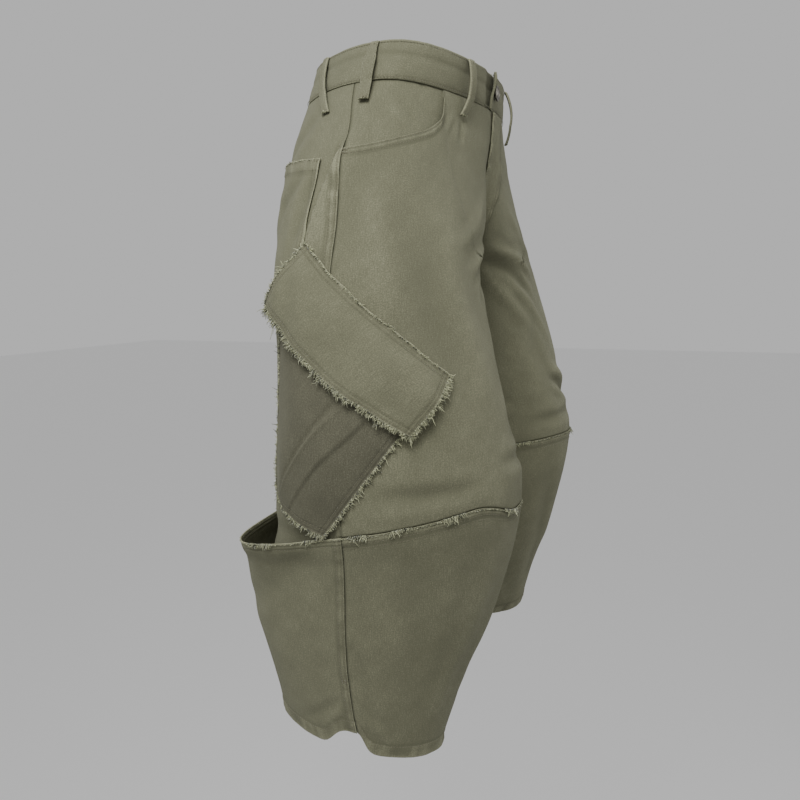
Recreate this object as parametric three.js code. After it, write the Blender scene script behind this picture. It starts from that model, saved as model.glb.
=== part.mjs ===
// Barrel-leg cargo shorts, filled out as if worn: millimetres, +Z up, the garment's front faces -Y and the
// wearer's right is -X. The origin is the centre of the waist opening.
//
// Every panel is a wall of canvas on one shared form. The form is a stack of sections, one table row each,
// and a place on it is a level (height of the section's middle) and an angle round the leg. The angle is 0 at
// the outer side, grows towards the front and reaches 180 at the inside of the leg. Above the crotch a section
// is cut off at the middle of the body, where the right and the left half meet.
import * as THREE from 'three';

// ---------------------------------------------------------------- driving sizes

// Sign of x on each half of the garment.
const RIGHT = -1;
const LEFT = 1;

const SEAM_GAP = 0.3;
const CLOTH = 1.2;
const BAND_CLOTH = 2.4;
const BAND_DEPTH = 40;
const KNEE_LEVEL = -473;
const HEM_LEVEL = -722;
const POCKET_STANDOFF = 2.6;

// One row for each section of the right leg, mirrored for the left: level of its middle, how far that middle
// is from the body's centre line, reach outward and inward from there, front-to-back place of the middle,
// reach forward and backward from there, rise of the section's plane towards the back and towards the outside.
const SECTION_COLUMNS = ['level', 'centre', 'outward', 'inward', 'middle', 'front', 'back', 'lean', 'splay'];
const SECTIONS = [
  [0, 0, 140, 140, -25, 80, 130, 0.07, 0],
  [-40, 0, 154, 154, -16, 86, 132, 0.05, 0],
  [-41, 0, 154, 154, -16, 86, 132, 0.05, 0],
  [-70, 16, 157, 147, -13, 88, 128, 0.05, 0],
  [-120, 48, 152, 130, -9, 94, 122, 0.03, 0],
  [-180, 86, 139, 114, -10, 102, 114, 0.02, 0],
  [-235, 118, 126, 104, -9, 110, 105, -0.02, 0],
  [-320, 134, 123, 103, -15, 127, 104, 0, 0],
  [-395, 138, 128, 102, -18, 142, 108, -0.05, 0],
  [KNEE_LEVEL, 136, 132, 100, -18, 154, 118, -0.18, -0.04],
  [-517, 134, 128, 98, -15, 151, 128, -0.11, 0.04],
  [-593, 142, 114, 93, -7, 136, 130, 0, 0.07],
  [-643, 158, 93, 82, -4, 116, 116, 0.09, 0.09],
  [-722, 178, 66, 66, -3, 95, 95, 0.1, 0.18],
].map((row) => Object.fromEntries(row.map((value, index) => [SECTION_COLUMNS[index], value])));

// The waist rides up a little over the hip and sinks behind it, which dies away below the waistband.
const WAIST_RISE = { height: 3, angle: 22, reach: 26, fadeFrom: -110, fade: 70 };
const WAIST_DIP = { depth: 3.5, angle: -38, reach: 22 };

// The side seam drifts forward down the leg.
const SIDE_SEAM = [
  { level: -40, angle: -6 },
  { level: -100, angle: 1 },
  { level: -240, angle: 5 },
  { level: -473, angle: 6 },
  { level: -600, angle: 9 },
  { level: -722, angle: 16 },
];

// The lower back panel stands off the leg as an open pouch: its outer back corner is squarer, and it stands
// further out, near the rim than at the hem.
const POUCH = [
  { level: -473, square: 5.5, standoff: 7 },
  { level: -517, square: 4.2, standoff: 1 },
  { level: -593, square: 3, standoff: -1 },
  { level: -643, square: 2.6, standoff: 0 },
  { level: -735, square: 2, standoff: 0 },
];
const POUCH_SEAM_RUN = 30;
const POUCH_INSEAM_RUN = 60;

// Scoop of the front pocket: share of the way from the side seam to the centre front, and the drop of the
// pocket edge below the waist seam there.
const SCOOP = [
  { share: 0, drop: 70 },
  { share: 0.1, drop: 66.5 },
  { share: 0.2, drop: 62 },
  { share: 0.3, drop: 56 },
  { share: 0.39, drop: 49.5 },
  { share: 0.46, drop: 43 },
  { share: 0.515, drop: 34 },
  { share: 0.545, drop: 23 },
  { share: 0.557, drop: 10 },
  { share: 0.562, drop: 0 },
];
const FRONT_SHARES = [...SCOOP.map((row) => row.share), 0.64, 0.73, 0.82, 0.91, 1];
const SCOOP_ROWS = 3;

// Levels of the rows that the upper and lower panels share below the waist seam.
const UPPER_LEVELS = [-125, -150, -175, -195, -208, -218, -236, -275, -320, -365, -410, -448];
const BACK_TOP_LEVELS = [-65, -88, -110.15];
const INNER_BACK_LEVELS = [-496, -520, -545];
const INNER_BACK_INSET = 3;
const INNER_BACK_RAMP = 20;
const LOWER_LEVELS = [-495, -520, -550, -590, -625, -660, -692];
const BACK_COLUMNS = 11;
const LOWER_BACK_COLUMNS = 14;

// The hem is drawn up where the side seam crosses it. The right leg's hem hangs lower and is drawn up further.
const HEM_NOTCH = 13;
const HEM_NOTCH_REACH = 9;
const RIGHT_HEM = { sag: 7, notch: 23, frontReach: 6, backReach: 17, steepness: 4 };

// The knee seam sags at the front of the right leg.
const KNEE_DIP = { drop: 20, from: 55, run: 30, until: 165, runOut: 40, reach: 45 };

// The facing behind the pocket scoop: its depth, and its reach as a share of the front panel.
const FACING = { depth: 92, reach: 0.6, inset: 2.1, columns: 8, rows: 4 };

// Corners of the patch pieces as level and angle, in order round the piece.
const BACK_POCKET = [
  { level: -113, angle: -72 },
  { level: -118, angle: -10 },
  { level: -241, angle: -15 },
  { level: -238, angle: -67 },
];
const CARGO_POCKET = [
  { level: -252, angle: -31 },
  { level: -338, angle: 45 },
  { level: -470, angle: 0 },
  { level: -430, angle: -42 },
];
const CARGO_FLAP = [
  { level: -199, angle: -10 },
  { level: -326, angle: 56 },
  { level: -381, angle: 34 },
  { level: -254, angle: -36 },
];
const CARGO_BULGE = { height: 9, span: 0.8, lead: 0.1 };
const FLAP_LIFT = { standoff: 6.2, steepness: 2.5, bulge: 6.75, bulgeSteepness: 1.5 };
const FLAP_CORNER = { lift: 5, steepness: 4 };
const BACK_POCKET_GRID = { columns: 6, rows: 6 };
const CARGO_POCKET_GRID = { columns: 8, rows: 8 };
const CARGO_FLAP_GRID = { columns: 11, rows: 5 };

// Belt loops: the angle of each one's top and foot, the foot's drop below the waist seam and how far it arches.
const LOOP_WIDTH = 10;
const LOOP_THICKNESS = 2.2;
const LOOP_TOP = -1;
const LOOP_ROWS = 10;
const LOOP_STEEPNESS = 3.6;
const LOOPS = [
  { name: 'belt_loop_front_right', side: RIGHT, angle: 62, footAngle: 63, foot: 21, arch: 9 },
  { name: 'belt_loop_side_right', side: RIGHT, angle: -1, footAngle: 4, foot: 21, arch: 6.8 },
  { name: 'belt_loop_back_right', side: RIGHT, angle: -33, footAngle: -16, foot: 29, arch: 6.5 },
  { name: 'belt_loop_centre_back', side: RIGHT, angle: -90, footAngle: -93.5, foot: 21, arch: 6.5 },
  { name: 'belt_loop_back_left', side: LEFT, angle: -33, footAngle: -16, foot: 29, arch: 6.5 },
  { name: 'belt_loop_side_left', side: LEFT, angle: -1, footAngle: 4, foot: 21, arch: 6.8 },
  { name: 'belt_loop_front_left', side: LEFT, angle: 62, footAngle: 63, foot: 21, arch: 9 },
];

// Waistband ends: the wearer's left end laps over the right end at the front.
const BAND_COLUMNS = 52;
const BAND_OVERLAP = 18;
const BAND_UNDERLAP = 22;
const BAND_STEP = 3;
const BAND_STEP_RUN = 16;

// Fly: the placket on the left front, the shield behind the opening and the zip between them.
const VALLEY_REACH = 6;
const FLY_DROP = 1;
const FLY_NARROWS_AT = 0.7;
const PLACKET = {
  past: 7, width: 34, offset: 1.7, thickness: 1.2, length: 150,
  columns: 5, rows: 9, taper: 0.55,
};
const SHIELD = {
  past: 16, width: 26, offset: -7.2, thickness: 1.2, length: 118,
  columns: 4, rows: 7, taper: 0,
};
const ZIP_TAPE = {
  past: 13, width: 13, offset: -5.4, thickness: 0.8, length: 110,
  columns: 3, rows: 7, taper: 0,
};
const SLIDER = { width: 8, height: 11, depth: 2.6, inset: 3, drop: 9 };
const PULL_TAB = { width: 6, height: 22, thickness: 1.2, inset: 2.6, gap: 1 };
const BUTTON = { radius: 8.5, neck: 4, height: 4.2, drop: 20, x: -3, turns: 24 };
// Outline of the button's head as shares of its radius and height.
const BUTTON_HEAD = [[0.94, 0.4], [1, 0.62], [0.9, 0.85], [0.55, 1]];
const BUTTON_NECK_SHARE = 0.35;

const CANVAS = { color: 0x8b8772, roughness: 0.92, metalness: 0 };
const CANVAS_SHADE = { color: 0x6f6b58, roughness: 0.94, metalness: 0 };
const DARK_METAL = { color: 0x3c3a36, roughness: 0.4, metalness: 0.9 };

// ---------------------------------------------------------------- the form

// Value of one column of a table between its rows, with a smooth curve through the rows.
function smoothAt(table, level, key) {
  const last = table.length - 1;
  let row = 0;
  while (row < last - 1 && level < table[row + 1].level) row += 1;
  const before = table[Math.max(row - 1, 0)];
  const upper = table[row];
  const lower = table[row + 1];
  const after = table[Math.min(row + 2, last)];
  const run = lower.level - upper.level;
  const t = Math.min(Math.max((level - upper.level) / run, 0), 1);
  const slopeUpper = ((lower[key] - before[key]) / (lower.level - before.level)) * run;
  const slopeLower = ((after[key] - upper[key]) / (after.level - upper.level)) * run;
  const square = t * t;
  const cube = square * t;
  return (
    (2 * cube - 3 * square + 1) * upper[key] +
    (cube - 2 * square + t) * slopeUpper +
    (3 * square - 2 * cube) * lower[key] +
    (cube - square) * slopeLower
  );
}

function sectionAt(level) {
  const section = { level };
  for (const key of SECTION_COLUMNS.slice(1)) section[key] = smoothAt(SECTIONS, level, key);
  return section;
}

function radians(angle) {
  return (angle * Math.PI) / 180;
}

// Place on the section's outline, before any offset. A square of 2 is an ellipse, more is boxier.
function outlineAt(section, angle, square) {
  const cosine = Math.cos(radians(angle));
  const sine = Math.sin(radians(angle));
  const across = cosine >= 0 ? section.outward : section.inward;
  const along = sine >= 0 ? section.front : section.back;
  const outerBack = cosine > 0 && sine < 0;
  const power = outerBack ? square : 2;
  const sum = Math.abs(cosine) ** power + Math.abs(sine) ** power;
  const swell = sum ** (-1 / power);
  return [section.centre + across * cosine * swell, section.middle - along * sine * swell];
}

// Rise of the waist over the hip. The angle is folded so that both halves rise alike.
function waistRise(level, angle) {
  const turn = radians(angle);
  const folded = (Math.atan2(Math.sin(turn), Math.abs(Math.cos(turn))) * 180) / Math.PI;
  const { height, fadeFrom, fade } = WAIST_RISE;
  const over = height * Math.exp(-(((folded - WAIST_RISE.angle) / WAIST_RISE.reach) ** 2));
  const behind = WAIST_DIP.depth * Math.exp(-(((folded - WAIST_DIP.angle) / WAIST_DIP.reach) ** 2));
  return (over - behind) * ramp((level - fadeFrom) / fade);
}

// A point on the form, moved out of it by the offset. On both sides x grows outward from the centre line.
function formPoint(level, angle, offset, square = 2) {
  const section = sectionAt(level);
  const step = 0.5;
  const [x, y] = outlineAt(section, angle, square);
  const [x0, y0] = outlineAt(section, angle - step, square);
  const [x1, y1] = outlineAt(section, angle + step, square);
  const length = Math.hypot(x1 - x0, y1 - y0);
  const outX = -(y1 - y0) / length;
  const outY = (x1 - x0) / length;
  const px = x + outX * offset;
  const py = y + outY * offset;
  const tilt = section.lean * (py - section.middle) + section.splay * (px - section.centre);
  return [px, py, level + tilt + waistRise(level, angle)];
}

// Angle at which a section meets the middle of the body, or 180 below the crotch.
function innerEnd(level) {
  const section = sectionAt(level);
  const cosine = Math.max(-1, -section.centre / section.inward);
  return (Math.acos(cosine) * 180) / Math.PI;
}

function sideSeam(level) {
  return smoothAt(SIDE_SEAM, level, 'angle');
}

// Half a seam gap as an angle on a section.
function gapAngle(level) {
  const section = sectionAt(level);
  return ((SEAM_GAP / 2 / section.outward) * 180) / Math.PI;
}

// How far the front or back panel reaches round the leg: share 0 is the side seam, 1 the middle or the inseam.
function panelAngle(level, share, facing) {
  const start = sideSeam(level) + facing * gapAngle(level);
  const end = facing * (innerEnd(level) - gapAngle(level));
  return start + (end - start) * share;
}

// Length of cloth passed for one degree round the leg.
function runPerDegree(level, angle) {
  const [x0, y0] = formPoint(level, angle - 0.5, 0);
  const [x1, y1] = formPoint(level, angle + 0.5, 0);
  return Math.hypot(x1 - x0, y1 - y0);
}

function ramp(value) {
  const t = Math.min(Math.max(value, 0), 1);
  return t * t * (3 - 2 * t);
}

// ---------------------------------------------------------------- solids

function geometryFrom(points, triangles) {
  const volume = triangles.reduce((sum, [a, b, c]) => {
    const first = new THREE.Vector3(...points[a]);
    const second = new THREE.Vector3(...points[b]);
    const third = new THREE.Vector3(...points[c]);
    return sum + first.dot(second.cross(third));
  }, 0);
  const facing = volume > 0 ? triangles : triangles.map(([a, b, c]) => [a, c, b]);
  const geometry = new THREE.BufferGeometry();
  geometry.setAttribute('position', new THREE.Float32BufferAttribute(points.flat(), 3));
  geometry.setIndex(facing.flat());
  geometry.computeVertexNormals();
  return geometry;
}

// Closed wall between an outer and an inner grid of points. The grid runs over shares (across) and rows (down),
// and place gives the level, angle and offset of the wall's middle there. Both faces split each cell along the
// same diagonal, so that the wall keeps its thickness where it twists.
function clothWall(shares, rows, place, side, square = () => 2) {
  const columns = shares.length;
  const points = [];
  for (const face of [1, -1]) {
    for (let row = 0; row < rows; row += 1) {
      for (const share of shares) {
        const { level, angle, offset } = place(share, row);
        const point = formPoint(level, angle, offset + (face * CLOTH) / 2, square(level));
        points.push([side * Math.max(point[0], SEAM_GAP / 2), point[1], point[2]]);
      }
    }
  }
  return geometryFrom(points, wallTriangles(columns, rows));
}

function wallTriangles(columns, rows) {
  const layer = columns * rows;
  const at = (column, row, face) => face * layer + row * columns + column;
  const triangles = [];
  const quad = (a, b, c, d) => triangles.push([a, b, c], [a, c, d]);
  for (let row = 0; row < rows - 1; row += 1) {
    for (let column = 0; column < columns - 1; column += 1) {
      for (const face of [0, 1]) {
        const start = at(column, row, face);
        const below = at(column, row + 1, face);
        const across = at(column + 1, row + 1, face);
        const beside = at(column + 1, row, face);
        if (face === 0) quad(start, below, across, beside);
        else quad(start, beside, across, below);
      }
    }
  }
  for (let column = 0; column < columns - 1; column += 1) {
    quad(at(column, 0, 1), at(column, 0, 0), at(column + 1, 0, 0), at(column + 1, 0, 1));
    const end = rows - 1;
    quad(at(column, end, 0), at(column, end, 1), at(column + 1, end, 1), at(column + 1, end, 0));
  }
  for (let row = 0; row < rows - 1; row += 1) {
    quad(at(0, row, 0), at(0, row, 1), at(0, row + 1, 1), at(0, row + 1, 0));
    const end = columns - 1;
    quad(at(end, row, 1), at(end, row, 0), at(end, row + 1, 0), at(end, row + 1, 1));
  }
  return triangles;
}

function evenShares(columns) {
  return Array.from({ length: columns + 1 }, (_, index) => index / columns);
}

// Wall whose four corners are given as level and angle. Standoff is its distance from the panel below at a
// share across and a share down.
function patchWall(corners, { columns, rows }, standoff, side) {
  const [topBack, topFront, lowFront, lowBack] = corners;
  const mix = (a, b, t) => a + (b - a) * t;
  const place = (across, row) => {
    const down = row / rows;
    const level = mix(
      mix(topBack.level, topFront.level, across),
      mix(lowBack.level, lowFront.level, across),
      down,
    );
    const angle = mix(
      mix(topBack.angle, topFront.angle, across),
      mix(lowBack.angle, lowFront.angle, across),
      down,
    );
    return { level, angle, offset: standoff(across, down) };
  };
  return clothWall(evenShares(columns), rows + 1, place, side);
}

// A plain block given by its size and centre.
function block(name, finish, size, centre) {
  const mesh = new THREE.Mesh(new THREE.BoxGeometry(...size), new THREE.MeshStandardMaterial(finish));
  mesh.position.set(...centre);
  mesh.name = name;
  return mesh;
}

// ---------------------------------------------------------------- the pieces

const shorts = new THREE.Group();

function add(name, geometry, finish) {
  const mesh = new THREE.Mesh(geometry, new THREE.MeshStandardMaterial(finish));
  mesh.name = name;
  shorts.add(mesh);
}

const WAIST_SEAM = -BAND_DEPTH - SEAM_GAP / 2;
const KNEE_TOP = KNEE_LEVEL + SEAM_GAP / 2;
const KNEE_BELOW = KNEE_LEVEL - SEAM_GAP / 2;

// Drop of the pocket edge below the waist seam at a share of the front panel.
function scoopDrop(share) {
  for (let row = 0; row < SCOOP.length - 1; row += 1) {
    const from = SCOOP[row];
    const to = SCOOP[row + 1];
    if (share <= to.share) {
      return from.drop + ((to.drop - from.drop) * (share - from.share)) / (to.share - from.share);
    }
  }
  return 0;
}

function withKneeDip({ level, angle, offset }, side) {
  const { drop, from, run, until, runOut, reach } = KNEE_DIP;
  if (side === LEFT) return { level, angle, offset };
  const across = ramp((angle - from) / run) * ramp((until - angle) / runOut);
  const near = Math.exp(-(((level - KNEE_LEVEL) / reach) ** 2));
  return { level: level - drop * across * near, angle, offset };
}

function upperFront(side) {
  const levels = [...UPPER_LEVELS, KNEE_TOP];
  const place = (share, row) => {
    const top = WAIST_SEAM - scoopDrop(share);
    const level = row < SCOOP_ROWS ? top + ((levels[0] - top) * row) / SCOOP_ROWS : levels[row - SCOOP_ROWS];
    return { level, angle: panelAngle(level, share, 1), offset: 0 };
  };
  const sagging = (share, row) => withKneeDip(place(share, row), side);
  return clothWall(FRONT_SHARES, SCOOP_ROWS + levels.length, sagging, side);
}

// The upper back goes on below the knee as the pouch's hidden inner wall, a little inside the seam line.
function upperBack(side) {
  const levels = [WAIST_SEAM, ...BACK_TOP_LEVELS, ...UPPER_LEVELS, KNEE_LEVEL, ...INNER_BACK_LEVELS];
  const place = (share, row) => {
    const level = levels[row];
    const inset = INNER_BACK_INSET * ramp((KNEE_LEVEL + INNER_BACK_RAMP - level) / INNER_BACK_RAMP);
    return { level, angle: panelAngle(level, share, -1), offset: -inset };
  };
  return clothWall(evenShares(BACK_COLUMNS), levels.length, place, side);
}

// Level of the hem at an angle: drawn up at the side seam, on the right leg by more behind it than before it.
function hemLevel(level, angle, side, facing) {
  if (level > HEM_LEVEL) return level;
  const away = angle - sideSeam(HEM_LEVEL);
  if (side === LEFT) return level + HEM_NOTCH * Math.exp(-((away / HEM_NOTCH_REACH) ** 2));
  const { sag, notch, frontReach, backReach, steepness } = RIGHT_HEM;
  const before = Math.exp(-((away / frontReach) ** 2));
  const behind = Math.exp(-(Math.abs(away / backReach) ** steepness));
  return level - sag + notch * (facing > 0 ? before : behind);
}

function lowerFront(side) {
  const levels = [KNEE_BELOW, ...LOWER_LEVELS, HEM_LEVEL];
  const place = (share, row) => {
    const angle = panelAngle(levels[row], share, 1);
    return withKneeDip({ level: hemLevel(levels[row], angle, side, 1), angle, offset: 0 }, side);
  };
  return clothWall(FRONT_SHARES, levels.length, place, side);
}

function lowerBack(side) {
  const levels = [KNEE_BELOW, ...LOWER_LEVELS, HEM_LEVEL];
  const place = (share, row) => {
    const angle = panelAngle(levels[row], share, -1);
    const fromSeam = ramp((sideSeam(levels[row]) - angle) / POUCH_SEAM_RUN);
    const fromInseam = ramp((angle + 180) / POUCH_INSEAM_RUN);
    const offset = smoothAt(POUCH, levels[row], 'standoff') * fromSeam * fromInseam;
    return { level: hemLevel(levels[row], angle, side, -1), angle, offset };
  };
  const square = (level) => smoothAt(POUCH, level, 'square');
  return clothWall(evenShares(LOWER_BACK_COLUMNS), levels.length, place, side, square);
}

// The facing behind the pocket scoop closes the hole that the scoop leaves.
function pocketFacing(side) {
  const { depth, reach, inset, columns, rows } = FACING;
  const place = (share, row) => {
    const level = WAIST_SEAM - (depth * row) / rows;
    return { level, angle: panelAngle(level, share * reach, 1), offset: -inset };
  };
  return clothWall(evenShares(columns), rows + 1, place, side);
}

function backPocket(side) {
  return patchWall(BACK_POCKET, BACK_POCKET_GRID, () => POCKET_STANDOFF, side);
}

function cargoPocket(side) {
  const { height, span, lead } = CARGO_BULGE;
  const standoff = (across, down) => {
    const swell = Math.sin(Math.PI * across) * Math.sin(Math.PI * (down * span + lead));
    return POCKET_STANDOFF + height * swell;
  };
  return patchWall(CARGO_POCKET, CARGO_POCKET_GRID, standoff, side);
}

// The flap is sewn along its upper edge, rides over the swollen pocket and lifts at its back corner.
function cargoFlap(side) {
  const lift = FLAP_LIFT;
  const standoff = (across, down) => {
    const over = lift.standoff * ramp(down * lift.steepness);
    const bulge = lift.bulge * Math.sin(Math.PI * across) * ramp(down * lift.bulgeSteepness);
    const corner = FLAP_CORNER.lift * ramp(1 - across * FLAP_CORNER.steepness) * ramp(down);
    return POCKET_STANDOFF + over + bulge + corner;
  };
  return patchWall(CARGO_FLAP, CARGO_FLAP_GRID, standoff, side);
}

// The waistband is one strip round the body. A turn of 0 is its right end, which is underneath, and 1 its left.
function waistband() {
  const levels = [0, -BAND_DEPTH / 2, -BAND_DEPTH + SEAM_GAP / 2];
  const points = [];
  for (const face of [1, -1]) {
    for (const level of levels) {
      for (let column = 0; column <= BAND_COLUMNS; column += 1) {
        points.push(bandPoint(column / BAND_COLUMNS, level, (face * BAND_CLOTH) / 2));
      }
    }
  }
  return geometryFrom(points, wallTriangles(BAND_COLUMNS + 1, levels.length));
}

function bandPoint(turn, level, offset) {
  const section = sectionAt(level);
  const perDegree = (section.outward * Math.PI) / 180;
  const overlap = BAND_OVERLAP / perDegree;
  const underlap = BAND_UNDERLAP / perDegree;
  const angle = 90 + underlap - turn * (360 + overlap + underlap);
  const sinceStart = (turn * (360 + overlap + underlap) - underlap - overlap) * perDegree;
  const step = BAND_STEP * (1 - ramp(sinceStart / BAND_STEP_RUN));
  const [x, y, z] = formPoint(level, angle, offset - step);
  return [-x, y, z];
}

function beltLoop({ side, angle, footAngle, foot, arch }) {
  const bottom = -BAND_DEPTH - foot;
  const base = BAND_CLOTH / 2 + 2 * SEAM_GAP + LOOP_THICKNESS / 2;
  const points = [];
  for (const face of [1, -1]) {
    for (let row = 0; row <= LOOP_ROWS; row += 1) {
      const t = row / LOOP_ROWS;
      const level = LOOP_TOP + (bottom - LOOP_TOP) * t;
      const halfAngle = LOOP_WIDTH / 2 / runPerDegree(level, angle);
      const lift = base + arch * ramp(Math.min(t, 1 - t) * LOOP_STEEPNESS) + (face * LOOP_THICKNESS) / 2;
      for (const edge of [-1, 1]) {
        const [x, y, z] = formPoint(level, angle + (footAngle - angle) * t + edge * halfAngle, lift);
        points.push([side * x, y, z]);
      }
    }
  }
  return geometryFrom(points, wallTriangles(2, LOOP_ROWS + 1));
}

// A strip along the centre front, from a reach on the wearer's right to a width on the wearer's left. Its
// reach past the centre line shrinks to nothing and its width narrows towards the foot.
function centreStrip({ past, width, offset, thickness, length, columns, rows, taper }) {
  const points = [];
  const top = WAIST_SEAM - FLY_DROP;
  for (const face of [1, -1]) {
    for (let row = 0; row <= rows; row += 1) {
      const down = row / rows;
      const level = top - length * down;
      const right = -past + (past + SEAM_GAP) * ramp(taper * down * 2);
      const left = width * (1 - taper * ramp((down - FLY_NARROWS_AT) / (1 - FLY_NARROWS_AT)));
      for (let column = 0; column <= columns; column += 1) {
        const x = right + ((left - right) * column) / columns;
        points.push(frontAt(level, x, offset + (face * thickness) / 2));
      }
    }
  }
  return geometryFrom(points, wallTriangles(columns + 1, rows + 1));
}

// Point of the front at a distance from the centre line, moved out of the cloth by the offset.
function frontAt(level, x, offset) {
  const section = sectionAt(level);
  const away = Math.abs(x);
  const cosine = (away - section.centre) / (away >= section.centre ? section.outward : section.inward);
  const angle = (Math.acos(cosine) * 180) / Math.PI;
  const [px, py, pz] = formPoint(level, angle, offset);
  const sign = x < 0 ? -1 : 1;
  return [sign * (away + (px - away) * Math.min(1, away / VALLEY_REACH)), py, pz];
}

function button() {
  const { radius, neck, height, turns } = BUTTON;
  const profile = [
    new THREE.Vector2(0, 0),
    new THREE.Vector2(neck, 0),
    new THREE.Vector2(neck, height * BUTTON_NECK_SHARE),
    ...BUTTON_HEAD.map(([reach, rise]) => new THREE.Vector2(radius * reach, height * rise)),
    new THREE.Vector2(0, height),
  ];
  return new THREE.LatheGeometry(profile, turns);
}

add('waistband', waistband(), CANVAS);
for (const [word, side] of [['right', RIGHT], ['left', LEFT]]) {
  add(`upper_front_${word}`, upperFront(side), CANVAS);
  add(`upper_back_${word}`, upperBack(side), CANVAS);
  add(`lower_front_${word}`, lowerFront(side), CANVAS);
  add(`lower_back_${word}`, lowerBack(side), CANVAS);
  add(`front_pocket_facing_${word}`, pocketFacing(side), CANVAS);
  add(`back_pocket_${word}`, backPocket(side), CANVAS);
  add(`cargo_pocket_${word}`, cargoPocket(side), CANVAS_SHADE);
  add(`cargo_flap_${word}`, cargoFlap(side), CANVAS);
}
for (const loop of LOOPS) add(loop.name, beltLoop(loop), CANVAS);

add('fly_placket', centreStrip(PLACKET), CANVAS);
add('fly_shield', centreStrip(SHIELD), CANVAS_SHADE);
add('zip_tape', centreStrip(ZIP_TAPE), CANVAS_SHADE);

const sliderFront = frontAt(WAIST_SEAM - SLIDER.drop, 0, 0);
const slider = block(
  'zip_slider',
  DARK_METAL,
  [SLIDER.width, SLIDER.depth, SLIDER.height],
  [0, sliderFront[1] + SLIDER.inset, sliderFront[2]],
);
shorts.add(slider);
const tabDrop = SLIDER.drop + (SLIDER.height + PULL_TAB.height) / 2 + PULL_TAB.gap;
const tabFront = frontAt(WAIST_SEAM - tabDrop, 0, 0);
const pullTab = block(
  'zip_pull_tab',
  DARK_METAL,
  [PULL_TAB.width, PULL_TAB.thickness, PULL_TAB.height],
  [0, tabFront[1] + PULL_TAB.inset, tabFront[2]],
);
shorts.add(pullTab);

const buttonMesh = new THREE.Mesh(button(), new THREE.MeshStandardMaterial(DARK_METAL));
const [, buttonY, buttonZ] = frontAt(-BUTTON.drop, Math.abs(BUTTON.x), BAND_CLOTH / 2 + 2 * SEAM_GAP);
buttonMesh.name = 'waist_button';
buttonMesh.rotation.x = Math.PI;
buttonMesh.position.set(BUTTON.x, buttonY, buttonZ);
shorts.add(buttonMesh);

export default shorts;
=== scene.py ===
"""Barrel-leg cargo shorts in worn canvas: the cloth, seams, raw edges and trim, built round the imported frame.

Places on the cloth are a level (height of a section's middle, in millimetres below the waist) and an angle
round the leg in degrees: 0 is the outer side, 90 the front and 180 the inside of the leg.
"""

import logging
import math
from dataclasses import dataclass, field
from enum import Enum
from typing import Callable, Iterable, Optional, Sequence, Union

import bpy
import numpy as np
from mathutils import Matrix, Vector


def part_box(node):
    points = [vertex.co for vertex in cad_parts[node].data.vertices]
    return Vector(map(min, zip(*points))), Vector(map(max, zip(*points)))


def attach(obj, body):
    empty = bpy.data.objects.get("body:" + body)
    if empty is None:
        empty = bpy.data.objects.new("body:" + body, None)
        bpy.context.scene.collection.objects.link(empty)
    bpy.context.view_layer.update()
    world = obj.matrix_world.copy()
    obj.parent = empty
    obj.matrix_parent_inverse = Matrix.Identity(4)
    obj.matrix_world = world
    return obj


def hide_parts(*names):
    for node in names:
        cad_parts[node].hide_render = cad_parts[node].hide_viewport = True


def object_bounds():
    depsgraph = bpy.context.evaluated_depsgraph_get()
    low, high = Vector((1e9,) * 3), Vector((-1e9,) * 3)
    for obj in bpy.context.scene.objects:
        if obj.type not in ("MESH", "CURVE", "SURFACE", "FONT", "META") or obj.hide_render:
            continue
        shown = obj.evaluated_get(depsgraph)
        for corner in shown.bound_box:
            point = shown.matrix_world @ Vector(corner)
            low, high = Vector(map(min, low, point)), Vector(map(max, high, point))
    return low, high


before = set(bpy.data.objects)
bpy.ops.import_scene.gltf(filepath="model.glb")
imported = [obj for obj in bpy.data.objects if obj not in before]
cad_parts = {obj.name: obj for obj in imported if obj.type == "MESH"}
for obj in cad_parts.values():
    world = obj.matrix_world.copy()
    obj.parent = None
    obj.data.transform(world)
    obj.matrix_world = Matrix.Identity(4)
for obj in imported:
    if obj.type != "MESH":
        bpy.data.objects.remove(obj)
CAD_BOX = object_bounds()

LOG = logging.getLogger("cargo_shorts")
MM = 0.001
BODY = "root"
ELLIPSE = 2.0
Array = np.ndarray
Amount = Union[float, Array]
# a layout takes shares across and down a piece and gives the level, angle and offset of each place
Layout = Callable[[Array, Array], tuple[Array, Array, Amount]]


class Side(Enum):
    """Which half of the garment a piece is on, as the sign of its x."""

    RIGHT = -1
    LEFT = 1

    @property
    def word(self) -> str:
        """The side's word in the names of nodes and pieces."""
        return self.name.lower()


class Edge(Enum):
    """The four edges of a cloth piece's grid."""

    START = "start"
    END = "end"
    TOP = "top"
    FOOT = "foot"


class Finishing(Enum):
    """How an edge of a piece is finished by the maker."""

    PLAIN = "plain"
    LAPPED = "lapped"
    SUNK = "sunk"
    HEMMED = "hemmed"
    RAW = "raw"


# ------------------------------------------------------------------ the garment's form


@dataclass(frozen=True)
class Section:
    """One section of a leg: its height, middle, reach each way and the tilt of its plane."""

    level: float
    centre: float
    outward: float
    inward: float
    middle: float
    front: float
    back: float
    lean: float
    splay: float


@dataclass(frozen=True)
class SeamPlace:
    """Where the side seam lies at a level."""

    level: float
    angle: float


@dataclass(frozen=True)
class PouchSection:
    """How square and how far out the open pouch stands at a level."""

    level: float
    square: float
    standoff: float


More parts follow.
